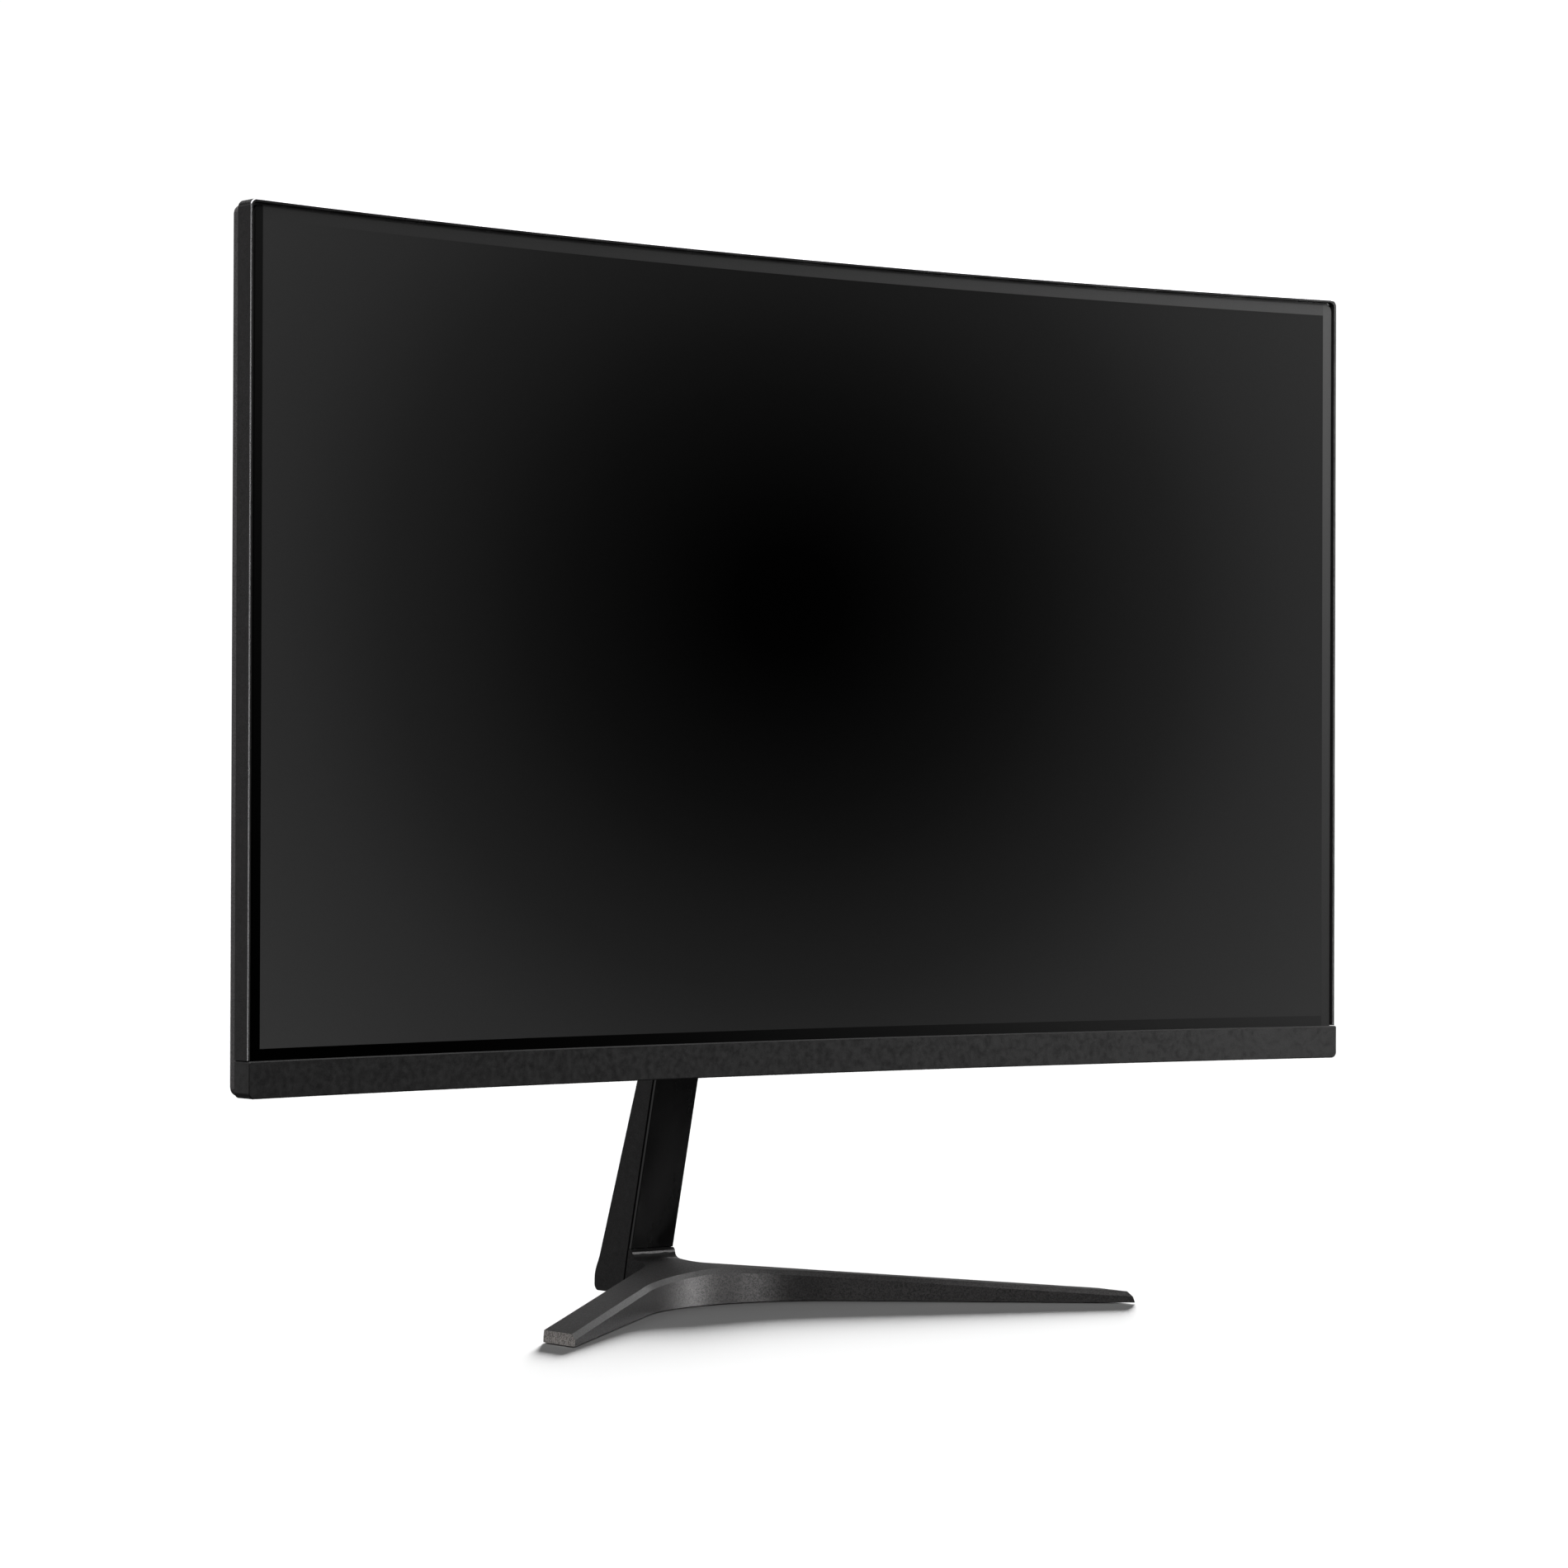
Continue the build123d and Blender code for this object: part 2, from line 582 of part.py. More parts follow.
def lock_slot(z_low, z_high):
    """The security slot in the underside of the bulge, over a range of heights."""
    return box(LOCK_SLOT_X - LOCK_SLOT_HALF_LENGTH, LOCK_SLOT_X + LOCK_SLOT_HALF_LENGTH,
               LOCK_SLOT_Y - LOCK_SLOT_HALF_WIDTH, LOCK_SLOT_Y + LOCK_SLOT_HALF_WIDTH, z_low, z_high)


def make_lock_plate():
    """The steel plate that backs the security slot."""
    low = BULGE_BOTTOM + COVER_WALL
    plate = box(LOCK_SLOT_X - 11, LOCK_SLOT_X + 11, LOCK_SLOT_Y - 6, LOCK_SLOT_Y + 6, low, low + 1.5)
    return plate - lock_slot(low - 1, low + 3)


# ---------------------------------------------------------------------------
# Boards and brackets
# ---------------------------------------------------------------------------

MAIN_BOARD = (-150.0, -58.0, 124.5, 226.0)
POWER_BOARD = (58.0, 150.0, 150.0, 240.0)
# Blocks on the boards: X and Z of the middle, width, height, thickness
MAIN_CHIPS = [(-104, 176, 20, 20, 1.8), (-76, 190, 12, 9, 1.2), (-76, 170, 8, 8, 1.2)]
MAIN_COILS = [(-138 + 9 * n, 212, 5, 5, 2.0) for n in range(5)]
TRANSFORMER = (84, 200, 26, 24, 17)
SMALL_TRANSFORMER = (84, 172, 16, 12, 12)
HEAT_SINKS = [(128, 232, 34, 3, 14), (118, 168, 3, 26, 14)]
# Round components: X and Z of the middle, radius, height
SMALL_CAPACITORS = [(-134 + 8 * n, 150, 2.6, 6) for n in range(4)]
LARGE_CAPACITORS = [(112 + 12 * n, 214, 5, 15) for n in range(3)]
CHOKE = (134, 186, 8, 17)
SHIELD_WALL = 0.8
MAIN_SHIELD_HEIGHT = 10.0
POWER_SHIELD_HEIGHT = 20.0
SHIELD_HOLE_PITCH = 10.0
SHIELD_HOLE_RADIUS = 2.2


def board(limits):
    """A plain circuit board."""
    x_low, x_high, z_low, z_high = limits
    return box(x_low, x_high, BOARD_FRONT_Y, BOARD_REAR_Y, z_low, z_high)


def on_board(x, z, width, height, thickness):
    """A block on the rear of a board, by its middle."""
    return box(x - width / 2, x + width / 2, BOARD_REAR_Y, BOARD_REAR_Y + thickness,
               z - height / 2, z + height / 2)


def make_main_board():
    """The board that takes the video signal, with its chips."""
    shape = board(MAIN_BOARD)
    for block in MAIN_CHIPS + MAIN_COILS:
        shape += on_board(*block)
    for x, z, radius, height in SMALL_CAPACITORS:
        shape += rod((x, BOARD_REAR_Y, z), radius, height, "Y")
    return shape


def make_power_board():
    """The mains power supply, with transformer, capacitors, choke and heat sinks."""
    shape = board(POWER_BOARD)
    for block in [TRANSFORMER, SMALL_TRANSFORMER] + HEAT_SINKS:
        shape += on_board(*block)
    for x, z, radius, height in LARGE_CAPACITORS + [CHOKE]:
        shape += rod((x, BOARD_REAR_Y, z), radius, height, "Y")
    return shape


def make_board_standoffs():
    """Short posts that hold both boards off the chassis."""
    posts = []
    for limits in (MAIN_BOARD, POWER_BOARD):
        x_low, x_high, z_low, z_high = limits
        for x in (x_low + 6, x_high - 6):
            for z in (z_low + 16, z_high - 6):
                post = rod((x, SCREEN_Y - 20, z), 3, 34, "Y") & whole_band(CHASSIS_REAR + 0.05, 80)
                posts.append(post)
    return Compound(posts)


def make_board_shields():
    """Steel boxes with round vents over both boards."""
    shields = []
    for limits, rear in ((MAIN_BOARD, MAIN_SHIELD_HEIGHT), (POWER_BOARD, POWER_SHIELD_HEIGHT)):
        x_low, x_high, z_low, z_high = limits
        low = z_low + 18 if limits is MAIN_BOARD else z_low + 6
        x_low -= 1.0
        x_high += 1.0
        z_high += 1.0
        outer = box(x_low, x_high, BOARD_FRONT_Y, BOARD_REAR_Y + rear, low, z_high)
        inner = box(x_low + SHIELD_WALL, x_high - SHIELD_WALL, BOARD_FRONT_Y - 1,
                    BOARD_REAR_Y + rear - SHIELD_WALL, low - 1, z_high - SHIELD_WALL)
        shield = outer - inner
        holes = [rod((x_low + 16 + SHIELD_HOLE_PITCH * i, BOARD_REAR_Y, low + 14 + SHIELD_HOLE_PITCH * j),
                     SHIELD_HOLE_RADIUS, 40, "Y") for i in range(7) for j in range(5)]
        shields.append(shield - Compound(holes))
    return Compound(shields)


def make_mount_bracket():
    """The steel channel that carries the whole head on the stand."""
    half = MOUNT_BRACKET_HALF
    floor_y = BULGE_REAR_Y - POCKET_DEPTH - COVER_WALL
    outer = box(-half, half, SCREEN_Y - 20, floor_y, HINGE_Z - half, HINGE_Z + half)
    inner = box(-half + 2, half - 2, SCREEN_Y - 30, floor_y - 2, HINGE_Z - half - 1, HINGE_Z + half + 1)
    channel = (outer - inner) & whole_band(CHASSIS_REAR + 0.05, 90)
    foot = box(half - 2, half + 9, SCREEN_Y - 20, SCREEN_Y + 20, HINGE_Z - half, HINGE_Z + half)
    foot = foot & whole_band(CHASSIS_REAR + 0.05, CHASSIS_REAR + 1.6)
    bracket = channel + mirrored(foot)
    for x, z in vesa_places():
        bracket -= rod((x, floor_y - 10, z), VESA_BUSH_RADIUS, 20, "Y")
    for x, z in mount_screw_places():
        bracket -= rod((x, floor_y - 10, z), 2.02, 20, "Y")
    return bracket


def make_vesa_bushes():
    """Four threaded bushes, flush with the rear face of the cover."""
    front_y = BULGE_REAR_Y - VESA_BUSH_LENGTH
    return Compound([ring((x, front_y, z), VESA_BUSH_RADIUS, VESA_THREAD_RADIUS, VESA_BUSH_LENGTH, "Y")
                     for x, z in vesa_places()])


def make_cover_screws():
    """Four screws deep in the tubes of the rear cover."""
    screws = []
    for x, z in COVER_SCREWS:
        head = rod((x, COVER_BOSS_FRONT_Y + 2, z), 2.9, 2.2, "Y")
        shank = rod((x, COVER_BOSS_FRONT_Y - 4, z), 1.5, 6.5, "Y")
        cross = box(x - 1.6, x + 1.6, COVER_BOSS_FRONT_Y + 3, COVER_BOSS_FRONT_Y + 6, z - 0.4, z + 0.4)
        cross += box(x - 0.4, x + 0.4, COVER_BOSS_FRONT_Y + 3, COVER_BOSS_FRONT_Y + 6, z - 1.6, z + 1.6)
        screws.append(head + shank - cross)
    return Compound(screws)


def make_cover_posts():
    """Tapped posts on the chassis that the cover screws bite into."""
    posts = []
    for x, z in COVER_SCREWS:
        post = ring((x, SCREEN_Y - 20, z), 3.6, 1.55, 34 - 0.1, "Y")
        posts.append(post & whole_band(CHASSIS_REAR + 0.05, 80))
    return Compound(posts)


def make_panel_cable():
    """The flat cable from the source boards up to the main board."""
    low = SCREEN_Z - 143.5
    jog = low + 10.5
    top = low + 25
    near = 11.2
    far = BOARD_FRONT_Y - 1.2 - on_arc(-100, 0)[1]
    thick = 0.15
    outline = Polyline((near, low), (near + thick, low), (near + thick, jog), (far, jog + 7), (far, top),
                       (far - thick, top), (far - thick, jog + 7.2), (near, jog + 0.2), close=True)
    return arc_place(-100, 0, 0) * side_profile(10, outline)


def make_backlight_lead():
    """The flat lead from the LED bar up to the power board, between the source boards."""
    front = 8.95
    rear = 9.4
    rise = band(-2.5, 2.5, front, rear, SCREEN_Z - 152.5, SCREEN_Z - 122)
    run = band(-2.5, 66, front, rear, SCREEN_Z - 126, SCREEN_Z - 122)
    end = band(61, 66, front, rear, SCREEN_Z - 126, SCREEN_Z - 100)
    return rise + run + end


def make_key_lead():
    """The flat lead from the key board along the lower edge to the main board."""
    front = 8.2
    rear = 8.8
    drop = band(164, 169, front, rear, SCREEN_Z - 156, SCREEN_Z - 130)
    run = band(-84, 169, front, rear, SCREEN_Z - 134, SCREEN_Z - 130)
    rise = band(-84, -79, front, rear, SCREEN_Z - 134, SCREEN_Z - 118)
    return run + drop + rise


# ---------------------------------------------------------------------------
# Keys at the back of the lower right corner
# ---------------------------------------------------------------------------

KEY_ARCS = [180.0, 194.0, 208.0, 222.0]
POWER_KEY_ARC = 240.0
KEY_Z = SCREEN_Z - 158.4
KEY_WIDTH = 9.0
KEY_HEIGHT = 4.4
KEY_GAP = 0.3
KEY_PROUD = 0.9
KEY_BOARD_FRONT = 7.0
KEY_BOARD_REAR = 8.0
KEY_SWITCH_REAR = 9.5
KEY_CAP_FRONT = 10.3
LENS_ARC = 252.0
LENS_DEPTH = 5.0
LENS_RADIUS = 1.2


def pill(width, height, front, rear):
    """A stadium-shaped block between two depths, centred on the stack's axis."""
    face = SlotOverall(width, height)
    return Pos(0, rear, 0) * Rot(90, 0, 0) * extrude(face, rear - front)


def make_key(arc, width):
    """One key cap: a stem, a holding flange and a pill-shaped face."""
    face_front = COVER_REAR - COVER_WALL - 0.35
    stem = pill(width - 4, 2.4, KEY_CAP_FRONT, face_front)
    flange = pill(width + 1.4, KEY_HEIGHT + 1.0, face_front - 0.7, face_front)
    face = pill(width, KEY_HEIGHT, face_front, COVER_REAR + KEY_PROUD)
    face = chamfer(face.faces().sort_by(Axis.Y)[-1].edges(), 0.4)
    return arc_place(arc, 0, KEY_Z) * (stem + flange + face)


def key_slots():
    """The slots in the rear cover that the keys come through."""
    slots = []
    for arc in KEY_ARCS + [POWER_KEY_ARC]:
        slot = pill(KEY_WIDTH + 2 * KEY_GAP, KEY_HEIGHT + 2 * KEY_GAP,
                    COVER_REAR - COVER_WALL - 1, COVER_REAR + 2)
        slots.append(arc_place(arc, 0, KEY_Z) * slot)
    return Compound(slots)


def make_key_board():
    """The narrow board with five switches and the power light."""
    shape = band(172, 256, KEY_BOARD_FRONT, KEY_BOARD_REAR, KEY_Z - 2.6, KEY_Z + 2.6)
    for arc in KEY_ARCS + [POWER_KEY_ARC]:
        shape += arc_place(arc, (KEY_BOARD_REAR + KEY_SWITCH_REAR) / 2 - 0.1, KEY_Z) * Box(4.4, 1.7, 3.2)
    return shape


def make_power_lens():
    """The light guide from the key board to the underside of the chin."""
    x, y = on_arc(LENS_ARC, LENS_DEPTH)
    return rod((x, y, CHIN_BOTTOM + 0.02), LENS_RADIUS, KEY_Z + 2.0 - CHIN_BOTTOM)


# ---------------------------------------------------------------------------
# Hinge
# ---------------------------------------------------------------------------

FIXED_EAR_OUTER = FIXED_EAR_INNER + FIXED_EAR_THICKNESS
FRICTION_START = FIXED_EAR_OUTER + AXIAL_GAP
MOVING_EAR_INNER = FRICTION_START + FRICTION_WASHER_THICKNESS + AXIAL_GAP
MOVING_EAR_OUTER = MOVING_EAR_INNER + MOVING_EAR_THICKNESS
SPRING_START = MOVING_EAR_OUTER + AXIAL_GAP
NUT_START = SPRING_START + 2 * DISC_SPRING_THICKNESS + 0.3
NUT_LENGTH = 3.6
PIN_HEAD_LENGTH = 2.0
PIN_HEAD_RADIUS = 5.0
FIXED_EAR_RADIUS = 7.0
FIXED_EAR_HALF_DEPTH = 4.0
FORK_DROP = 11.0
FORK_THICKNESS = 3.0
HINGE_TONGUE_HALF_WIDTH = 5.6
HINGE_TONGUE_THICKNESS = 2.6
HINGE_TONGUE_FOOT = 50.0
MOVING_EAR_RADIUS = 7.5
TILT_PLATE_FRONT_Y = BULGE_REAR_Y - POCKET_DEPTH + MOUNT_PLATE_THICKNESS
TILT_PLATE_THICKNESS = 2.5


def make_hinge_bracket():
    """The fixed fork at the top of the column, on a tongue that enters the core."""
    low = HINGE_Z - HINGE_TONGUE_FOOT
    high = HINGE_Z - FORK_DROP + 1
    front = HINGE_Y - FIXED_EAR_HALF_DEPTH
    rear = HINGE_Y + FIXED_EAR_HALF_DEPTH
    ear = rod((FIXED_EAR_INNER, HINGE_Y, HINGE_Z), FIXED_EAR_RADIUS, FIXED_EAR_THICKNESS, "X")
    ear += box(FIXED_EAR_INNER, FIXED_EAR_OUTER, front, rear, HINGE_Z - FORK_DROP, HINGE_Z)
    fork = mirrored(ear) + box(-FIXED_EAR_OUTER, FIXED_EAR_OUTER, front, rear, HINGE_Z - FORK_DROP,
                               HINGE_Z - FORK_DROP + FORK_THICKNESS)
    front_low = column_front(low) + CORE_WEB_REAR + 0.2
    front_high = column_front(high) + CORE_WEB_REAR + 0.2
    tongue_line = Polyline((front_low, low), (front_low + HINGE_TONGUE_THICKNESS, low),
                           (front_high + HINGE_TONGUE_THICKNESS, high), (front_high, high), close=True)
    fork += side_profile(HINGE_TONGUE_HALF_WIDTH, tongue_line)
    return fork - rod((-30, HINGE_Y, HINGE_Z), HINGE_PIN_RADIUS + HINGE_FIXED_GAP, 60, "X")


def make_hinge_pin():
    """The pin, with its head on the left and its thread on the right."""
    start = -NUT_START - PIN_HEAD_LENGTH
    length = 2 * NUT_START + PIN_HEAD_LENGTH + NUT_LENGTH - 0.2
    pin = rod((start, HINGE_Y, HINGE_Z), HINGE_PIN_RADIUS, length, "X")
    head = rod((start, HINGE_Y, HINGE_Z), PIN_HEAD_RADIUS, PIN_HEAD_LENGTH, "X")
    return pin + head


def make_friction_washers():
    """The two washers whose grip holds the tilt."""
    washer = ring((FRICTION_START, HINGE_Y, HINGE_Z), 6.6, 3.1, FRICTION_WASHER_THICKNESS)
    return Compound([washer, mirror(washer, about=Plane.YZ)])


def make_disc_springs():
    """Four dished washers that press the ears together."""
    springs = []
    for n in range(2):
        start = SPRING_START + n * (DISC_SPRING_THICKNESS + 0.1)
        washer = ring((start, HINGE_Y, HINGE_Z), 5.6, 3.1, DISC_SPRING_THICKNESS)
        springs += [washer, mirror(washer, about=Plane.YZ)]
    return Compound(springs)


def make_hinge_nut():
    """The hexagonal nut on the right-hand end of the pin."""
    hexagon = extrude(RegularPolygon(5.4, 6), NUT_LENGTH)
    hexagon -= Cylinder(HINGE_PIN_RADIUS + HINGE_FIXED_GAP, 20)
    return Pos(NUT_START, HINGE_Y, HINGE_Z) * Rot(0, 90, 0) * hexagon


def make_tilt_bracket():
    """The moving bracket: a plate on the head with two ears round the pin."""
    ear_front = TILT_PLATE_FRONT_Y
    ear = rod((MOVING_EAR_INNER, HINGE_Y, HINGE_Z), MOVING_EAR_RADIUS, MOVING_EAR_THICKNESS, "X")
    arm = Polyline((ear_front, HINGE_Z - 11), (ear_front, HINGE_Z + 11),
                   (HINGE_Y, HINGE_Z + MOVING_EAR_RADIUS),
                   (HINGE_Y, HINGE_Z - MOVING_EAR_RADIUS), close=True)
    arm = extrude(Plane.YZ * make_face(arm), MOVING_EAR_THICKNESS)
    ear += Pos(MOVING_EAR_INNER, 0, 0) * arm
    plate = box(-MOVING_EAR_OUTER, MOVING_EAR_OUTER, ear_front, ear_front + TILT_PLATE_THICKNESS,
                HINGE_Z - 17, HINGE_Z + 17)
    plate = fillet(plate.edges().filter_by(Axis.Y), 3)
    bracket = mirrored(ear) + plate
    bracket -= rod((-30, HINGE_Y, HINGE_Z), HINGE_PIN_RADIUS + HINGE_RUNNING_GAP, 60, "X")
    for x, z in bracket_screw_places():
        bracket -= rod((x, ear_front - 5, z), 1.7, 20, "Y")
    return bracket


def bracket_screw_places():
    """Where the tilt bracket's four screws go, as X and Z."""
    return [(x, HINGE_Z + z) for x in (-9, 9) for z in (-13, 13)]


def make_bracket_screws():
    """Four flat-headed screws that hold the tilt bracket to the mount plate."""
    head_y = TILT_PLATE_FRONT_Y + TILT_PLATE_THICKNESS
    screws = []
    for x, z in bracket_screw_places():
        head = rod((x, head_y, z), 2.8, 1.4, "Y")
        shank = rod((x, head_y - 4.8, z), 1.5, 5, "Y")
        slot = box(x - 2, x + 2, head_y + 0.7, head_y + 3, z - 0.35, z + 0.35)
        screws.append(head + shank - slot)
    return Compound(screws)


def make_mount_plate():
    """The square plate that sits in the pocket of the rear cover."""
    half = MOUNT_PLATE_SIZE / 2
    front = BULGE_REAR_Y - POCKET_DEPTH
    plate = box(-half, half, front, front + MOUNT_PLATE_THICKNESS, HINGE_Z - half, HINGE_Z + half)
    plate = fillet(plate.edges().filter_by(Axis.Y), 4)
    for x, z in mount_screw_places():
        plate -= rod((x, front - 1, z), 2.2, 10, "Y")
    for x, z in bracket_screw_places():
        plate -= rod((x, front + 0.2, z), 1.55, 10, "Y")
    return plate


def make_mount_screws():
    """Four screws through the mount plate into the bracket behind the cover."""
    head_y = BULGE_REAR_Y - POCKET_DEPTH + MOUNT_PLATE_THICKNESS
    screws = []
    for x, z in mount_screw_places():
        head = rod((x, head_y, z), 3.6, 2.2, "Y")
        head = fillet(head.edges().sort_by(Axis.Y)[-1], 1.0)
        shank = rod((x, head_y - 10, z), 1.97, 10.2, "Y")
        cross = box(x - 2, x + 2, head_y + 1, head_y + 4, z - 0.45, z + 0.45)
        cross += box(x - 0.45, x + 0.45, head_y + 1, head_y + 4, z - 2, z + 2)
        screws.append(head + shank - cross)
    return Compound(screws)


def make_hinge_cover():
    """The plastic barrel round the hinge, open towards the head."""
    start = -BARREL_HALF_LENGTH
    barrel = rod((start, HINGE_Y, HINGE_Z), BARREL_RADIUS, 2 * BARREL_HALF_LENGTH, "X")
    ends = barrel.faces().filter_by(Axis.X)
    barrel = fillet([e for f in ends for e in f.edges()], 1.6)
    inside = BARREL_HALF_LENGTH - BARREL_WALL
    barrel -= rod((-inside, HINGE_Y, HINGE_Z), BARREL_RADIUS - BARREL_WALL, 2 * inside, "X")
    window = MOVING_EAR_OUTER + 2.0
    barrel -= box(-window, window, HINGE_Y - 20, HINGE_Y - 2.5, HINGE_Z - 13, HINGE_Z + 20)
    column_hole = COLUMN_HALF_WIDTH - 2.0
    barrel -= box(-column_hole, column_hole, HINGE_Y - 8, HINGE_Y + 8, HINGE_Z - 20, HINGE_Z - 8)
    return barrel


# ---------------------------------------------------------------------------
# Column
# ---------------------------------------------------------------------------

def column_front(z):
    """The Y of the column's front face at a height."""
    return COLUMN_FRONT_Y - COLUMN_FRONT_LEAN * (z - COLUMN_PLATE_BOTTOM)


def column_rear(z):
    """The Y of the column's rear face at a height: it tapers, then runs parallel."""
    taper = COLUMN_REAR_Y - COLUMN_REAR_LEAN * (min(z, COLUMN_BLADE_Z) - COLUMN_REAR_Z)
    return taper - COLUMN_FRONT_LEAN * max(z - COLUMN_BLADE_Z, 0)


COLUMN_TOP = HINGE_Z - 9.0


def shell_line(inset):
    """The side outline of the rear shell. The inset shrinks its back and its foot."""
    top = COLUMN_TOP + inset
    groove = COLUMN_PLATE_THICKNESS + COLUMN_GROOVE
    front_top = (column_front(top) + groove - 2 * inset, top)
    front_neck = (column_front(COLUMN_PLATE_BOTTOM) + groove - 2 * inset, COLUMN_PLATE_BOTTOM)
    front_foot = (SHELL_FOOT_Y - 2 * inset, COLUMN_SHELL_BOTTOM + inset)
    rear_foot = (SHELL_HEEL_Y - 1.9 - inset, COLUMN_SHELL_BOTTOM + inset)
    rear_heel = (SHELL_HEEL_Y - inset, COLUMN_SHELL_BOTTOM + 3.0)
    rear_bend = (COLUMN_REAR_Y + 0.7 - inset, COLUMN_REAR_Z)
    rear_low = (column_rear(16) - inset, 16)
    blade = (column_rear(COLUMN_BLADE_Z) - inset, COLUMN_BLADE_Z)
    rear_top = (column_rear(top) - inset, top)
    lower = Polyline(rear_low, blade, rear_top, front_top, front_neck, front_foot, rear_foot)
    heel_middle = ((rear_foot[0] + rear_heel[0]) / 2 + 0.4, COLUMN_SHELL_BOTTOM + 1.0)
    heel = ThreePointArc(rear_foot, heel_middle, rear_heel)
    calf = Spline(rear_heel, rear_bend, rear_low,
                  tangents=[(0, 1), (-COLUMN_REAR_LEAN, 1)])
    return lower.edges() + heel.edges() + calf.edges()


def make_column_rear_shell():
    """The rear shell: two sides and a back, open to the front."""
    outer = side_profile(COLUMN_HALF_WIDTH, shell_line(0))
    inner = side_profile(COLUMN_HALF_WIDTH - COLUMN_WALL, shell_line(COLUMN_WALL))
    shell = outer - inner
    barrel = rod((-40, HINGE_Y, HINGE_Z), BARREL_RADIUS + 0.1, 80, "X")
    screw_hole = rod((0, BASE_SCREW_Y, 0), BASE_SCREW_HEAD_RADIUS + 0.6, 5)
    return shell - barrel - screw_hole


def make_column_front_plate():
    """The thin plate on the front of the column, with bosses for its screws."""
    low = COLUMN_PLATE_BOTTOM
    high = HINGE_Z - 13
    thick = COLUMN_PLATE_THICKNESS
    line = Polyline((column_front(low), low), (column_front(low) + thick, low),
                    (column_front(high) + thick, high), (column_front(high), high), close=True)
    plate = side_profile(COLUMN_PLATE_HALF_WIDTH, line)
    front = max(plate.faces(), key=lambda face: -face.normal_at().Y * face.area)
    plate = chamfer(front.edges(), 0.3)
    for z in PLATE_SCREW_HEIGHTS:
        plate += column_rod(z, 2.6, 0.8, CORE_WEB_FRONT - 0.2)
    for z in PLATE_SCREW_HEIGHTS:
        plate -= column_rod(z, 1.25, 0.85, CORE_WEB_FRONT + 1)
    return plate - rod((-40, HINGE_Y, HINGE_Z), BARREL_RADIUS + 0.1, 80, "X")


def core_line(front, rear, low, high):
    """A side outline that follows the column between two offsets from its faces."""
    bend = COLUMN_BLADE_Z
    return Polyline((column_front(low) + front, low), (column_rear(low) - rear, low),
                    (column_rear(bend) - rear, bend), (column_rear(high) - rear, high),
                    (column_front(high) + front, high), close=True)


def make_column_core():
    """The folded steel channel inside the column, open to the rear, with a tapped foot."""
    low = 16.0
    high = HINGE_Z - 16
    rear = COLUMN_WALL + 0.4
    outer = side_profile(CORE_HALF_WIDTH, core_line(CORE_WEB_FRONT, rear, low, high))
    hollow = side_profile(CORE_HALF_WIDTH - 2.0, core_line(CORE_WEB_REAR, -5, low + 5, high + 3))
    core = outer - hollow
    for z in PLATE_SCREW_HEIGHTS:
        core -= column_rod(z, 1.4, CORE_WEB_FRONT - 1, CORE_WEB_REAR + 1)
    return core - rod((0, BASE_SCREW_Y, 0), 3.05, 30)


def column_rod(z, radius, front, rear):
    """A cylinder square to the column's front face, between two depths behind it."""
    lean = degrees(atan(COLUMN_FRONT_LEAN))
    shape = rod((0, front, 0), radius, rear - front, "Y")
    return Pos(0, column_front(z), z) * Rot(lean, 0, 0) * shape


def make_plate_screws():
    """Small screws through the web of the core into the front plate's bosses."""
    screws = []
    for z in PLATE_SCREW_HEIGHTS:
        shank = column_rod(z, 1.2, 0.9, CORE_WEB_REAR)
        head = column_rod(z, 2.4, CORE_WEB_REAR + 0.02, CORE_WEB_REAR + 1.6)
        screws.append(shank + head)
    return Compound(screws)


# ---------------------------------------------------------------------------
# Base
# ---------------------------------------------------------------------------

def leg_front(x):
    """The Y of the straight front edge of a leg at a distance from the middle."""
    return LEG_TIP_FRONT_Y + LEG_SLOPE * (LEG_TIP_X - x)


def base_plan():
    """The plan of the base: two legs with a round crotch, and the neck behind."""
    slope = (1 + LEG_SLOPE ** 2) ** 0.5
    touch_x = CROTCH_RADIUS * LEG_SLOPE / slope
    tip_back = LEG_TIP_FRONT_Y + LEG_DEPTH_ALONG_Y
    neck_start = leg_front(NECK_HALF_WIDTH) + LEG_DEPTH_ALONG_Y
    touch = (touch_x, leg_front(touch_x))
    crotch = ThreePointArc((-touch_x, touch[1]), (0, CROTCH_Y), touch)
    right = Polyline(touch, (LEG_TIP_X, LEG_TIP_FRONT_Y), (LEG_TIP_X, tip_back),
                     (NECK_HALF_WIDTH, neck_start), (NECK_HALF_WIDTH, NECK_REAR_Y), (0, NECK_REAR_Y))
    left = mirror(right, about=Plane.YZ)
    face = make_face([crotch] + right.edges() + left.edges())
    rear_tips = [v for v in face.vertices() if abs(v.X) > LEG_TIP_X - 0.1 and v.Y > tip_back - 0.1]
    face = fillet(rear_tips, TIP_CORNER_RADIUS)
    corners = [v for v in face.vertices()
               if abs(abs(v.X) - NECK_HALF_WIDTH) < 0.1 and abs(v.Y - neck_start) < 0.1]
    return fillet(corners, NECK_FLARE_RADIUS)


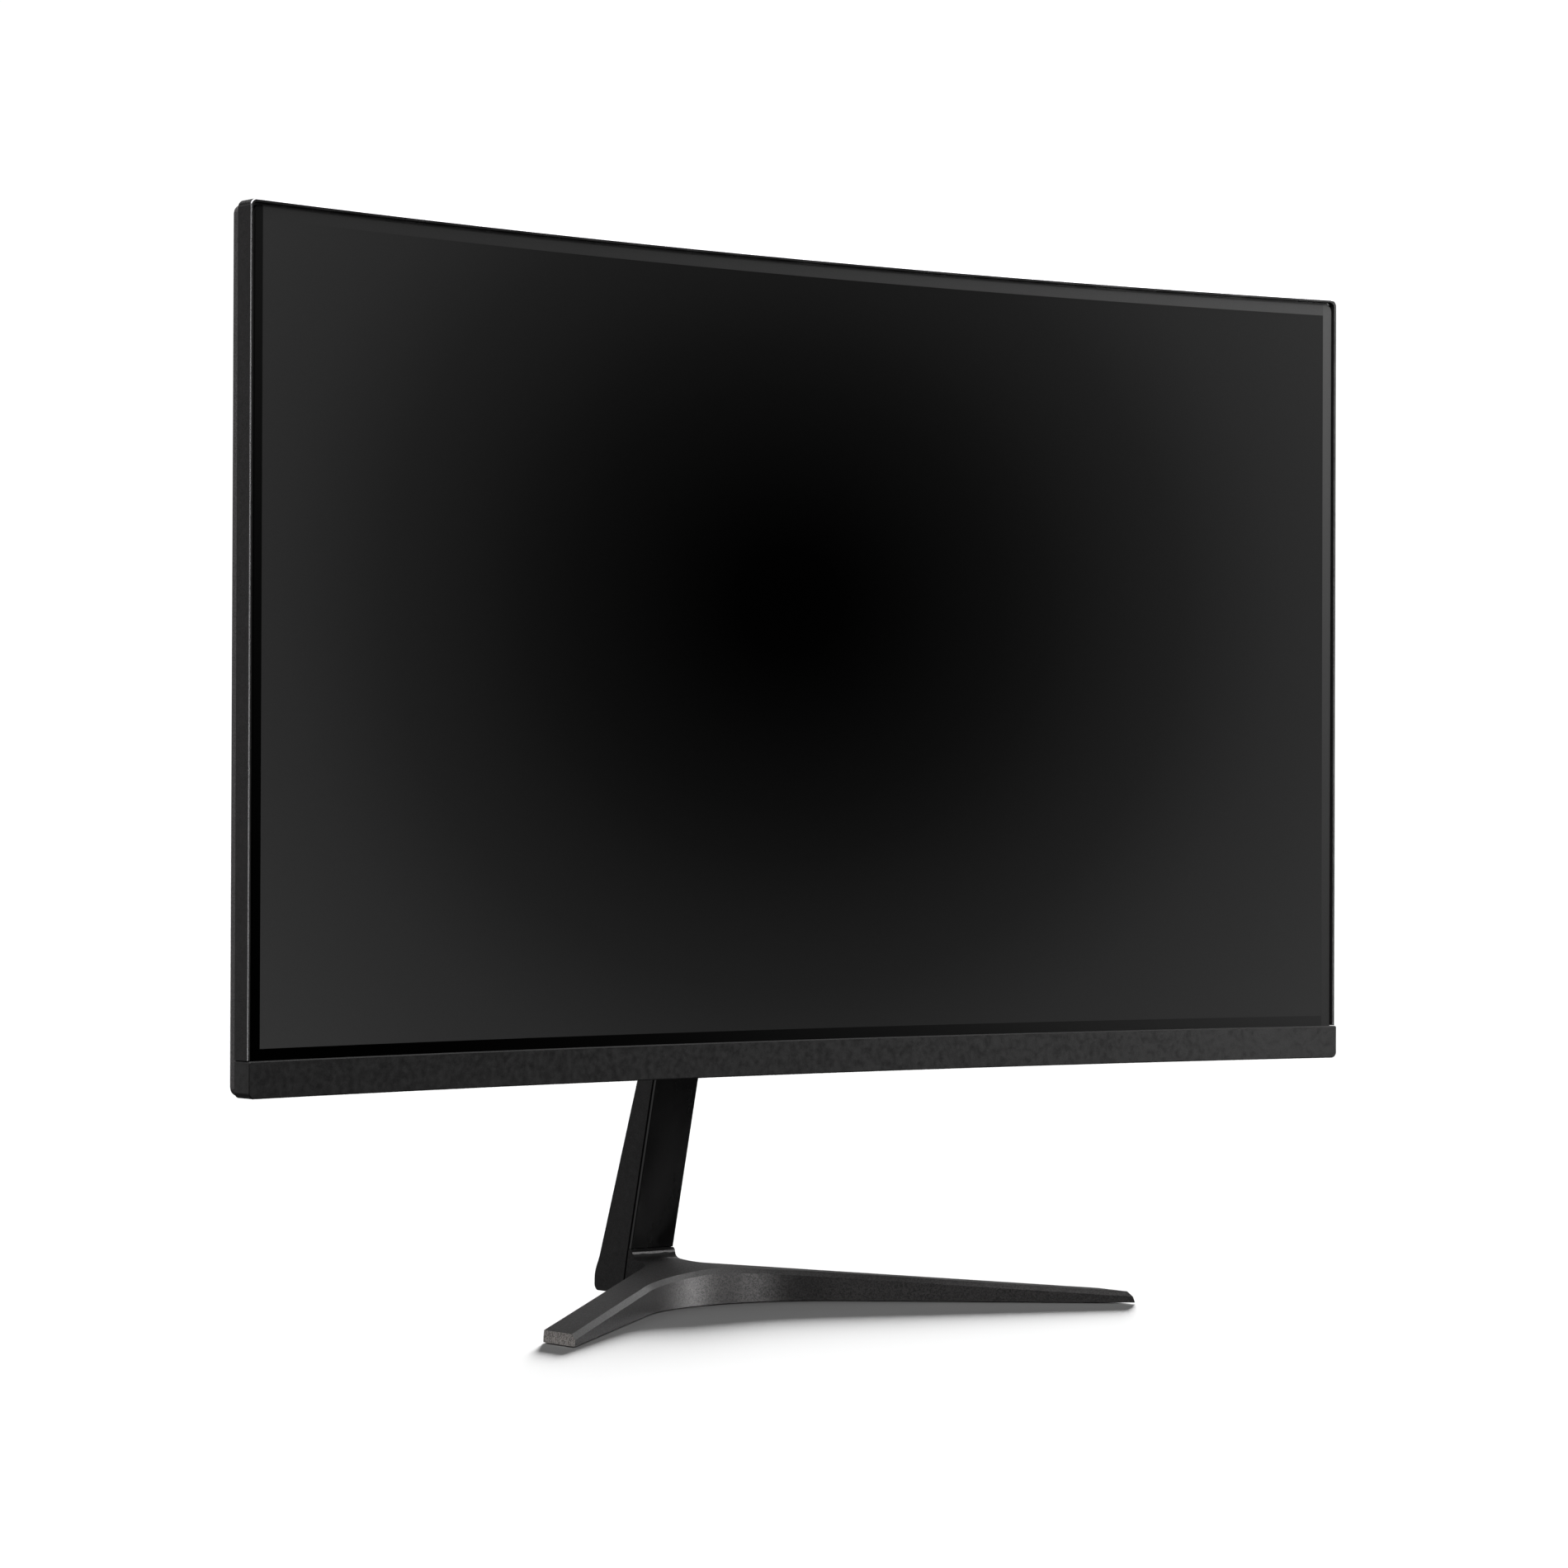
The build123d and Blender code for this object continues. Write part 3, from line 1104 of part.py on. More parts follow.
def base_roof():
    """The room under the top of the legs: it falls from the middle to two leaning ends."""
    end_x = LEG_TIP_X - END_LEAN
    fall = (RIDGE_TOP - TIP_TOP) / end_x
    shoulder = RIDGE_TOP - fall * RIDGE_HALF_WIDTH
    crest = RIDGE_TOP - fall * RIDGE_HALF_WIDTH / 2
    ridge = ThreePointArc((-RIDGE_HALF_WIDTH, shoulder), (0, crest), (RIDGE_HALF_WIDTH, shoulder))
    sides = Polyline((RIDGE_HALF_WIDTH, shoulder), (end_x, TIP_TOP), (LEG_TIP_X, BASE_BOTTOM),
                     (-LEG_TIP_X, BASE_BOTTOM), (-end_x, TIP_TOP), (-RIDGE_HALF_WIDTH, shoulder))
    return extrude(Plane.XZ * make_face(ridge.edges() + sides.edges()), 200, both=True)


def neck_room():
    """The room under the neck: a bevelled lip in front, then a hollow sweep that sinks into the legs."""
    lip_y = COLUMN_FRONT_Y - NECK_BEVEL
    lip_z = NECK_TOP - NECK_BEVEL
    start = (lip_y, lip_z)
    knee = (lip_y - NECK_SWEEP_KNEE, NECK_SWEEP_KNEE_Z)
    end = (lip_y - NECK_SWEEP_LENGTH, NECK_SWEEP_LOW)
    slope = (knee[1] - end[1]) / (knee[0] - end[0])
    sweep = Spline(start, knee, end, tangents=[(0, -1), (-1, -slope), (-1, -slope)])
    rest = Polyline(end, (end[0], BASE_BOTTOM), (NECK_REAR_Y, BASE_BOTTOM), (NECK_REAR_Y, NECK_TOP),
                    (COLUMN_FRONT_Y, NECK_TOP), start)
    return extrude(Plane.YZ * make_face(sweep.edges() + rest.edges()), 3 * NECK_HALF_WIDTH, both=True)


def make_stand_base():
    """The cast V base, with a tongue that enters the column and pockets for the feet."""
    body = extrude(base_plan(), 40) & (base_roof() + neck_room())
    groove_y = COLUMN_FRONT_Y + COLUMN_PLATE_THICKNESS + 0.1
    back_cut = Polyline((groove_y, 40), (groove_y, NECK_TOP - 0.3), (SHELL_FOOT_Y - 0.3, BASE_BOTTOM - 1),
                        (90, BASE_BOTTOM - 1), (90, 40), close=True)
    body -= side_profile(30, back_cut)
    body = chamfer(front_top_edges(body), CHAMFER)
    tongue_low = COLUMN_SHELL_BOTTOM + COLUMN_WALL + 0.2
    tongue = box(-TONGUE_HALF_WIDTH, TONGUE_HALF_WIDTH, COLUMN_FRONT_Y, TONGUE_REAR_Y,
                 tongue_low, TONGUE_TOP)
    body += tongue
    body -= rod((0, BASE_SCREW_Y, 0), 3.3, 30)
    body -= rod((0, BASE_SCREW_Y, 0), BASE_SCREW_HEAD_RADIUS + 0.4, 6)
    for x, y, radius in FOOT_PLACES:
        body -= rod((x, y, 0), radius + 0.1, BASE_BOTTOM + 0.7)
    return body


def front_top_edges(body):
    """The edges between the top of the base and its upright front faces."""
    found = []
    for edge in body.edges():
        middle = edge.position_at(0.5)
        x = abs(middle.X)
        upright_edge = abs(edge.position_at(0).Z - edge.position_at(1).Z) > 0.5 * edge.length
        if upright_edge or middle.Z < TIP_TOP - 1.0 or x > LEG_TIP_X - 2:
            continue
        crotch_y = CROTCH_Y - CROTCH_RADIUS + (max(CROTCH_RADIUS ** 2 - x ** 2, 0)) ** 0.5
        if abs(middle.Y - leg_front(x)) < 1.0 or abs(middle.Y - crotch_y) < 1.0:
            found.append(edge)
    return found


def make_base_feet():
    """Rubber feet set into the underside of the legs and the hub."""
    feet = []
    for x, y, radius in FOOT_PLACES:
        foot = rod((x, y, 0), radius, BASE_BOTTOM + 0.6)
        feet.append(fillet(foot.edges().sort_by(Axis.Z)[0], 0.4))
    return Compound(feet)


def make_base_screw():
    """The captive screw that draws the column onto the base."""
    head = rod((0, BASE_SCREW_Y, 2.6), BASE_SCREW_HEAD_RADIUS, 3.3)
    head -= box(-4.5, 4.5, BASE_SCREW_Y - 0.8, BASE_SCREW_Y + 0.8, 0, 4.0)
    return head + rod((0, BASE_SCREW_Y, 5.0), 3.0, 15)


# ---------------------------------------------------------------------------
# Write every sub-part
# ---------------------------------------------------------------------------

def main():
    """Build and write the whole object."""
    save("front_polariser", make_front_polariser())
    save("lcd_cell", make_lcd_cell())
    save("mid_frame", make_mid_frame())
    save("chin_strip", make_chin_strip())
    save("prism_sheet", make_optical_sheet(2.65, 2.85))
    save("diffuser_sheet", make_optical_sheet(2.95, 3.15))
    save("light_guide", make_optical_sheet(3.3, 5.8))
    save("reflector_sheet", make_optical_sheet(5.95, 6.15))
    save("led_bar", make_led_bar())
    save("heat_spreader", make_heat_spreader())
    save("panel_chassis", make_panel_chassis())
    save("bonding_films", make_bonding_films())
    save("source_boards", make_source_boards())
    save("rear_cover", make_rear_cover())
    save("cover_screws", make_cover_screws())
    save("cover_posts", make_cover_posts())
    save("lock_plate", make_lock_plate())
    save("main_board", make_main_board())
    save("power_board", make_power_board())
    save("board_standoffs", make_board_standoffs())
    save("board_shields", make_board_shields())
    save("hdmi_sockets", make_hdmi_sockets())
    save("displayport_socket", make_displayport_socket())
    save("audio_socket", make_audio_socket())
    save("mains_inlet", make_mains_inlet())
    save("mains_pins", make_mains_pins())
    save("mount_bracket", make_mount_bracket())
    save("vesa_bushes", make_vesa_bushes())
    save("panel_cable", make_panel_cable())
    save("backlight_lead", make_backlight_lead())
    save("key_lead", make_key_lead())
    save("key_board", make_key_board())
    for number, arc in enumerate(KEY_ARCS, start=1):
        save(f"menu_key_{number}", make_key(arc, KEY_WIDTH))
    save("power_key", make_key(POWER_KEY_ARC, KEY_WIDTH))
    save("power_lens", make_power_lens())
    save("mount_plate", make_mount_plate())
    save("mount_screws", make_mount_screws())
    save("tilt_bracket", make_tilt_bracket())
    save("bracket_screws", make_bracket_screws())
    save("hinge_bracket", make_hinge_bracket())
    save("hinge_pin", make_hinge_pin())
    save("friction_washers", make_friction_washers())
    save("disc_springs", make_disc_springs())
    save("hinge_nut", make_hinge_nut())
    save("hinge_cover", make_hinge_cover())
    save("column_front_plate", make_column_front_plate())
    save("column_rear_shell", make_column_rear_shell())
    save("column_core", make_column_core())
    save("plate_screws", make_plate_screws())
    save("stand_base", make_stand_base())
    save("base_feet", make_base_feet())
    save("base_screw", make_base_screw())


main()
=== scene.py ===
import json
from math import cos, radians, sin

import bmesh
import bpy
from mathutils import Matrix, Vector


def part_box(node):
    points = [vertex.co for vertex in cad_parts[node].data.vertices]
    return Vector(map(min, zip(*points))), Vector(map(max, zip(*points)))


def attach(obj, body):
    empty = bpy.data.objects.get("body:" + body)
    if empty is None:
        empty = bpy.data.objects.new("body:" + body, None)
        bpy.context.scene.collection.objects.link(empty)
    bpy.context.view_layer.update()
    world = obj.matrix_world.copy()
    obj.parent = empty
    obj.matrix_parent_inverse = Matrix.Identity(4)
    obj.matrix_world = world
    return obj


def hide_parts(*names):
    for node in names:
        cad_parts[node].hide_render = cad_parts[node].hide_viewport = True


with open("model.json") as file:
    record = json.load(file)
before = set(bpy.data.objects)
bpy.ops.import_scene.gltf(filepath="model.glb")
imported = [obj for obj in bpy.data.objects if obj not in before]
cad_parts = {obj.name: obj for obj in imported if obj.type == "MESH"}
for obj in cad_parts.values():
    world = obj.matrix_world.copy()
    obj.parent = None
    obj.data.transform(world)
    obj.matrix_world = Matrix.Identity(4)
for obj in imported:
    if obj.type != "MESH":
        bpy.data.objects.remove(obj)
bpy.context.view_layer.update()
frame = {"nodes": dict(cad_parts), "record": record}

MM = 0.001

# The screen: its picture area inside the cell, and the arc that the whole head follows
CELL_LOW, CELL_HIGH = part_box("lcd_cell")
CELL_BORDER_TOP = 4.9 * MM
PICTURE_HALF_WIDTH = 259.4 * MM
PICTURE_HALF_HEIGHT = 146.65 * MM
PICTURE_Z = CELL_HIGH.z - CELL_BORDER_TOP - PICTURE_HALF_HEIGHT
SCREEN_Y = -38.8 * MM
SCREEN_RADIUS = 1500 * MM


# ---------------------------------------------------------------------------
# Materials
# ---------------------------------------------------------------------------

class Look:
    """One node material under construction. Sizes are in metres, in the row frame."""

    def __init__(self, name, **sockets):
        self.material = bpy.data.materials.new(name)
        self.material.use_nodes = True
        self.tree = self.material.node_tree
        self.tree.nodes.clear()
        output = self.tree.nodes.new("ShaderNodeOutputMaterial")
        self.shader = self.tree.nodes.new("ShaderNodeBsdfPrincipled")
        self.tree.links.new(self.shader.outputs[0], output.inputs["Surface"])
        for socket, value in sockets.items():
            self.shader.inputs[socket.replace("_", " ")].default_value = value
        self.place = self.tree.nodes.new("ShaderNodeTexCoord").outputs["Object"]

    def node(self, kind, **settings):
        """A new node. Settings that name a socket fill it, and the others set the node itself."""
        made = self.tree.nodes.new(kind)
        for key, value in settings.items():
            if hasattr(made, key):
                setattr(made, key, value)
        for key, value in settings.items():
            if not hasattr(made, key):
                self.put(made.inputs[key.replace("_", " ")], value)
        return made

    def put(self, socket, value):
        """Links an output to a socket, or sets its value."""
        if isinstance(value, bpy.types.NodeSocket):
            self.tree.links.new(value, socket)
        else:
            socket.default_value = value

    def stretch(self, scale):
        """The place, stretched along each axis."""
        return self.node("ShaderNodeMapping", Vector=self.place, Scale=scale).outputs[0]

    def coordinates(self):
        """The place's X, Y and Z."""
        return self.node("ShaderNodeSeparateXYZ", Vector=self.place).outputs

    def noise(self, size, detail=2.0, place=None, rough=0.5):
        """Cloudy noise with lumps of about this size, from 0 to 1."""
        made = self.node("ShaderNodeTexNoise", Vector=place or self.place, Scale=1.0 / size,
                         Detail=detail, Roughness=rough)
        return made.outputs["Fac"]

    def cells(self, size, output="Distance"):
        """The distance from, or a colour of, the nearest of many cells of about this size."""
        made = self.node("ShaderNodeTexVoronoi", Vector=self.place, Scale=1.0 / size, feature="F1")
        return made.outputs[output]

    def cell_channels(self, size):
        """Two random numbers for each cell of about this size."""
        split = self.node("ShaderNodeSeparateColor")
        self.put(split.inputs[0], self.cells(size, "Color"))
        return split.outputs[0], split.outputs[1]

    def remap(self, value, low, high, to_low=0.0, to_high=1.0):
        """A value moved from one range to another, and kept inside it."""
        made = self.node("ShaderNodeMapRange", clamp=True)
        for index, number in enumerate((value, low, high, to_low, to_high)):
            self.put(made.inputs[index], number)
        return made.outputs[0]

    def math(self, operation, *values):
        """A sum, product or other function of numbers and outputs."""
        made = self.node("ShaderNodeMath", operation=operation)
        for index, value in enumerate(values):
            self.put(made.inputs[index], value)
        return made.outputs[0]

    def mix(self, fac, low, high):
        """A colour between two colours."""
        made = self.node("ShaderNodeMix", data_type="RGBA")
        colours = [socket for socket in made.inputs if socket.type == "RGBA"]
        self.put(made.inputs[0], fac)
        self.put(colours[0], low)
        self.put(colours[1], high)
        return [socket for socket in made.outputs if socket.type == "RGBA"][0]

    def ramp(self, value, stops):
        """A grey that follows a value through stops of a position and a level each."""
        made = self.node("ShaderNodeValToRGB")
        self.put(made.inputs[0], value)
        elements = made.color_ramp.elements
        while len(elements) < len(stops):
            elements.new(0.5)
        for element, (position, level) in zip(elements, stops):
            element.position = position
            element.color = grey(level)
        return made.outputs[0]

    def colour(self, value):
        self.put(self.shader.inputs["Base Color"], value)

    def roughness(self, value):
        self.put(self.shader.inputs["Roughness"], value)

    def bump(self, height, depth, strength=1.0, under=None):
        """Raises the surface by height times depth, in metres, on top of an earlier bump."""
        made = self.node("ShaderNodeBump", Height=height, Strength=strength, Distance=depth)
        if under is not None:
            self.put(made.inputs["Normal"], under)
        return made.outputs[0]

    def normal(self, value):
        self.put(self.shader.inputs["Normal"], value)

    def edges(self, radius=0.6 * MM):
        """1 at sharp edges and 0 on open surface."""
        rounded = self.node("ShaderNodeBevel", Radius=radius, samples=4).outputs[0]
        flat = self.node("ShaderNodeNewGeometry").outputs["Normal"]
        turn = self.node("ShaderNodeVectorMath", operation="DOT_PRODUCT")
        self.put(turn.inputs[0], rounded)
        self.put(turn.inputs[1], flat)
        return self.remap(turn.outputs["Value"], 0.985, 0.80)

    def wear_and_edge_highlight(self, base, share, paler_edge, radius=0.6 * MM):
        """A colour that turns by a share into a paler one along sharp edges: a little wear and a painted edge
        highlight.
        """
        return self.mix(self.math("MULTIPLY", self.edges(radius), share), base, paler_edge)


def grey(level, tint=(1.0, 1.0, 1.0)):
    """A colour of one level, slightly tinted."""
    return (level * tint[0], level * tint[1], level * tint[2], 1.0)


BLACK = grey(0.0)
WHITE = grey(1.0)
WARM = (1.03, 0.985, 1.0)
PAINT_TINT = (1.04, 0.985, 0.99)
CAST_TINT = (1.06, 0.99, 0.95)


def textured_plastic(name, level, rough=0.5, grain=0.42 * MM, depth=0.018 * MM, specular=0.35, tint=WARM):
    """Moulded plastic with a spark-eroded texture, paler along its edges: a little wear and a painted edge
    highlight.
    """
    look = Look(name, Specular_IOR_Level=specular)
    fine = look.noise(grain, 1.0)
    coarse = look.noise(grain * 3.1, 2.0)
    cloud = look.noise(60 * MM, 3.0)
    speck = look.remap(fine, 0.32, 0.70)
    base = look.mix(speck, grey(level * 0.5, tint), grey(level * 1.6, tint))
    base = look.mix(look.remap(cloud, 0.3, 0.7, 0.0, 0.35), base, grey(level * 1.12, tint))
    look.colour(look.wear_and_edge_highlight(base, 0.28, grey(level * 2.2, tint)))
    look.roughness(look.remap(look.noise(2.5 * MM, 2.0), 0.3, 0.7, rough - 0.05, rough + 0.07))
    low = look.bump(coarse, depth * 1.6, 0.5)
    look.normal(look.bump(fine, depth, 0.9, low))
    return look.material


def smooth_plastic(name, level, rough, specular):
    """Polished plastic with a faint orange-peel surface and a few soft smears."""
    look = Look(name, Specular_IOR_Level=specular, Coat_Weight=0.15, Coat_Roughness=0.12)
    smear = look.noise(14 * MM, 4.0, look.stretch((1.0, 1.0, 0.35)), 0.6)
    fine = look.noise(0.9 * MM, 2.0)
    look.colour(look.mix(look.remap(smear, 0.35, 0.7), grey(level * 0.85, WARM), grey(level * 1.2, WARM)))
    look.roughness(look.remap(smear, 0.35, 0.75, rough - 0.05, rough + 0.08))
    low = look.bump(look.noise(5 * MM, 1.0), 0.003 * MM, 0.5)
    look.normal(look.bump(fine, 0.003 * MM, 0.5, low))
    return look.material


def grained_paint(name, level, tint, left_painted_shade=0.0):
    """Metallic paint with fine flakes over a cast surface, paler along its edges (a little wear and a painted
    edge highlight), and with painted shade to the left if that is asked.
    """
    look = Look(name, Metallic=0.55, Specular_IOR_Level=0.4)
    bright, dull = look.cell_channels(0.45 * MM)
    cloud = look.noise(22 * MM, 3.0)
    base = look.mix(bright, grey(level * 0.35, tint), grey(level * 1.8, tint))
    base = look.mix(look.remap(cloud, 0.35, 0.7, 0.0, 0.3), base, grey(level * 1.2, tint))
    base = look.wear_and_edge_highlight(base, 0.16, grey(level * 2.4, tint), 0.4 * MM)
    if left_painted_shade:
        # painted shade, darkening the paint towards the left
        across = look.coordinates()[0]
        base = look.mix(look.remap(across, -35 * MM, 20 * MM, left_painted_shade, 0.0), base, BLACK)
    look.colour(base)
    look.roughness(look.remap(dull, 0.0, 1.0, 0.34, 0.50))
    low = look.bump(look.noise(1.1 * MM, 2.0), 0.02 * MM, 0.5)
    look.normal(look.bump(look.noise(0.32 * MM, 1.0), 0.012 * MM, 0.8, low))
    return look.material


def metal(name, level, tint=(1.0, 1.0, 1.0), rough=0.32, brushed=None, spangle=0.0):
    """Bare or plated metal: brushed along one axis, or with the large crystals of zinc."""
    look = Look(name, Metallic=1.0)
    place = look.stretch(brushed) if brushed else look.place
    streak = look.noise(0.5 * MM, 3.0, place)
    cloud = look.noise(9 * MM, 3.0)
    base = look.mix(look.remap(streak, 0.3, 0.7), grey(level * 0.86, tint), grey(level * 1.10, tint))
    if spangle:
        crystal = look.cell_channels(spangle)[0]
        base = look.mix(look.math("MULTIPLY", crystal, 0.4), base, grey(level * 0.72, tint))
    base = look.mix(look.remap(cloud, 0.5, 0.8, 0.0, 0.4), base, grey(level * 0.78, tint))
    edge_level = min(level * 1.4, 0.95)
    # paler along sharp edges: a little wear and a painted edge highlight
    look.colour(look.wear_and_edge_highlight(base, 0.4, grey(edge_level, tint), 0.4 * MM))
    look.roughness(look.remap(cloud, 0.3, 0.7, rough - 0.06, rough + 0.12))
    look.normal(look.bump(streak, 0.006 * MM, 0.7))
    return look.material


def rubber(name):
    """Dusty moulded rubber."""
    look = Look(name, Specular_IOR_Level=0.25)
    fine = look.noise(0.3 * MM, 2.0)
    dust = look.noise(3 * MM, 4.0)
    look.colour(look.mix(look.remap(dust, 0.45, 0.8, 0.0, 0.5), grey(0.016), grey(0.055)))
    look.roughness(look.remap(dust, 0.3, 0.7, 0.72, 0.9))
    look.normal(look.bump(fine, 0.03 * MM, 0.8))
    return look.material


MASK_GREEN = (0.008, 0.085, 0.026, 1)
TRACK_GREEN = (0.018, 0.16, 0.05, 1)
PAD_TIN = (0.55, 0.52, 0.40, 1)


def circuit_board(name):
    """Green solder mask with copper tracks under it and pale pads."""
    look = Look(name, Specular_IOR_Level=0.5)
    tracks = look.noise(3.0 * MM, 1.0, look.stretch((1.0, 1.0, 6.0)))
    lines = look.remap(look.math("ABSOLUTE", look.math("SUBTRACT", tracks, 0.5)), 0.02, 0.035)
    pads = look.remap(look.cells(2.2 * MM), 0.16, 0.13)
    base = look.mix(lines, TRACK_GREEN, MASK_GREEN)
    look.colour(look.mix(look.math("MULTIPLY", pads, 0.8), base, PAD_TIN))
    look.roughness(look.remap(pads, 0.0, 1.0, 0.33, 0.48))
    look.normal(look.bump(lines, 0.03 * MM, 0.6))
    return look.material


def film(name, colour, darker, rough, size):
    """A thin plastic film or flat cable, streaked along its length."""
    look = Look(name, Specular_IOR_Level=0.5)
    streak = look.noise(size, 2.0, look.stretch((1.0, 1.0, 0.15)))
    look.colour(look.mix(look.remap(streak, 0.35, 0.65), darker, colour))
    look.roughness(look.remap(streak, 0.3, 0.7, rough - 0.05, rough + 0.08))
    look.normal(look.bump(streak, 0.01 * MM, 0.6))
    return look.material


def lens(name):
    """Milky plastic of the power light."""
    look = Look(name, Specular_IOR_Level=0.5, Transmission_Weight=0.35)
    cloud = look.noise(1.2 * MM, 2.0)
    look.colour(look.mix(cloud, (0.62, 0.64, 0.68, 1), (0.86, 0.87, 0.90, 1)))
    look.roughness(look.remap(cloud, 0.3, 0.7, 0.18, 0.34))
    look.normal(look.bump(cloud, 0.004 * MM, 0.5))
    return look.material


# The picture's painted reflection: the X and Z of its dark middle, and its levels outwards. Each level stands
# at a share of PICTURE_REACH, which is counted in half widths of the picture.
DARK_X = -6 * MM
DARK_Z = PICTURE_Z + 20 * MM
PICTURE_REACH = 1.6
PICTURE_SQUASH = 0.73
PICTURE_REFLECTION_LEVELS = [(0.0, 0.0000), (0.06, 0.0006), (0.125, 0.0042), (0.25, 0.0122), (0.3125, 0.0186),
                  (0.47, 0.0419), (0.59, 0.0710), (0.775, 0.1021), (0.9, 0.1216)]
PICTURE_EDGE = 0.05 * MM

# The border's painted reflection: its levels towards its four corners, and the painted shade and painted
# highlight that its two side strips get over the rest
BORDER_LOWER_LEFT = 0.0002
BORDER_LOWER_RIGHT = 0.085
BORDER_UPPER_LEFT = 0.092
BORDER_UPPER_RIGHT = 0.30
LEFT_STRIP_PAINTED_SHADE = 0.72
RIGHT_STRIP_PAINTED_HIGHLIGHT = 0.10
STRIP_EDGE = 0.2 * MM


def picture_painted_reflection(look, x, z):
    """A painted reflection: a dark middle that lightens towards the corners."""
    across = look.math("DIVIDE", look.math("SUBTRACT", x, DARK_X), PICTURE_HALF_WIDTH)
    up = look.math("DIVIDE", look.math("SUBTRACT", z, DARK_Z), PICTURE_HALF_HEIGHT)
    up = look.math("MULTIPLY", up, PICTURE_SQUASH)
    squares = look.math("ADD", look.math("POWER", across, 2.0), look.math("POWER", up, 2.0))
    return look.ramp(look.math("DIVIDE", look.math("SQRT", squares), PICTURE_REACH), PICTURE_REFLECTION_LEVELS)


def border_painted_reflection(look, x, z):
    """A painted reflection on the border, lighter to the right and upwards, with painted shade on its left
    strip and a painted highlight on its right strip.
    """
    grow = look.math("POWER", look.remap(x, -CELL_HIGH.x, CELL_HIGH.x), 2.6)
    climb = look.math("POWER", look.remap(z, CELL_LOW.z, CELL_HIGH.z), 2.2)
    lower = look.mix(grow, grey(BORDER_LOWER_LEFT), grey(BORDER_LOWER_RIGHT))
    upper = look.mix(grow, grey(BORDER_UPPER_LEFT), grey(BORDER_UPPER_RIGHT))
    border = look.mix(climb, lower, upper)
    # painted shade on the left strip, and a painted highlight on the right strip that fades downwards
    past_left = look.remap(x, -PICTURE_HALF_WIDTH - STRIP_EDGE, -PICTURE_HALF_WIDTH)
    right_strip_highlight = look.remap(x, PICTURE_HALF_WIDTH, PICTURE_HALF_WIDTH + STRIP_EDGE, 0.0, RIGHT_STRIP_PAINTED_HIGHLIGHT)
    right_strip_highlight = look.math("MULTIPLY", right_strip_highlight, look.remap(z, CELL_LOW.z, CELL_HIGH.z, 0.3, 1.0))
    return look.mix(past_left, look.mix(LEFT_STRIP_PAINTED_SHADE, border, BLACK), look.mix(right_strip_highlight, border, WHITE))


def within(look, value, half_size):
    """1 where a value is less than a half size from 0, and 0 past it."""
    distance = look.math("ABSOLUTE", value)
    return look.remap(distance, half_size + PICTURE_EDGE, half_size - PICTURE_EDGE)


def screen_film(name):
    """Anti-glare film over the picture and its border, with a painted reflection in its colour. The cell's
    edge round it looks the same.
    """
    look = Look(name, Specular_IOR_Level=0.004)
    x, _, z = look.coordinates()
    inside = look.math("MULTIPLY", within(look, x, PICTURE_HALF_WIDTH),
                       within(look, look.math("SUBTRACT", z, PICTURE_Z), PICTURE_HALF_HEIGHT))
    grain = look.noise(0.25 * MM, 1.0)
    base = look.mix(inside, border_painted_reflection(look, x, z), picture_painted_reflection(look, x, z))
    look.colour(look.mix(look.remap(grain, 0.3, 0.7, 0.0, 0.10), base, BLACK))
    look.roughness(look.remap(look.noise(30 * MM, 3.0), 0.3, 0.7, 0.42, 0.50))
    look.normal(look.bump(grain, 0.003 * MM, 0.4))
    return look.material


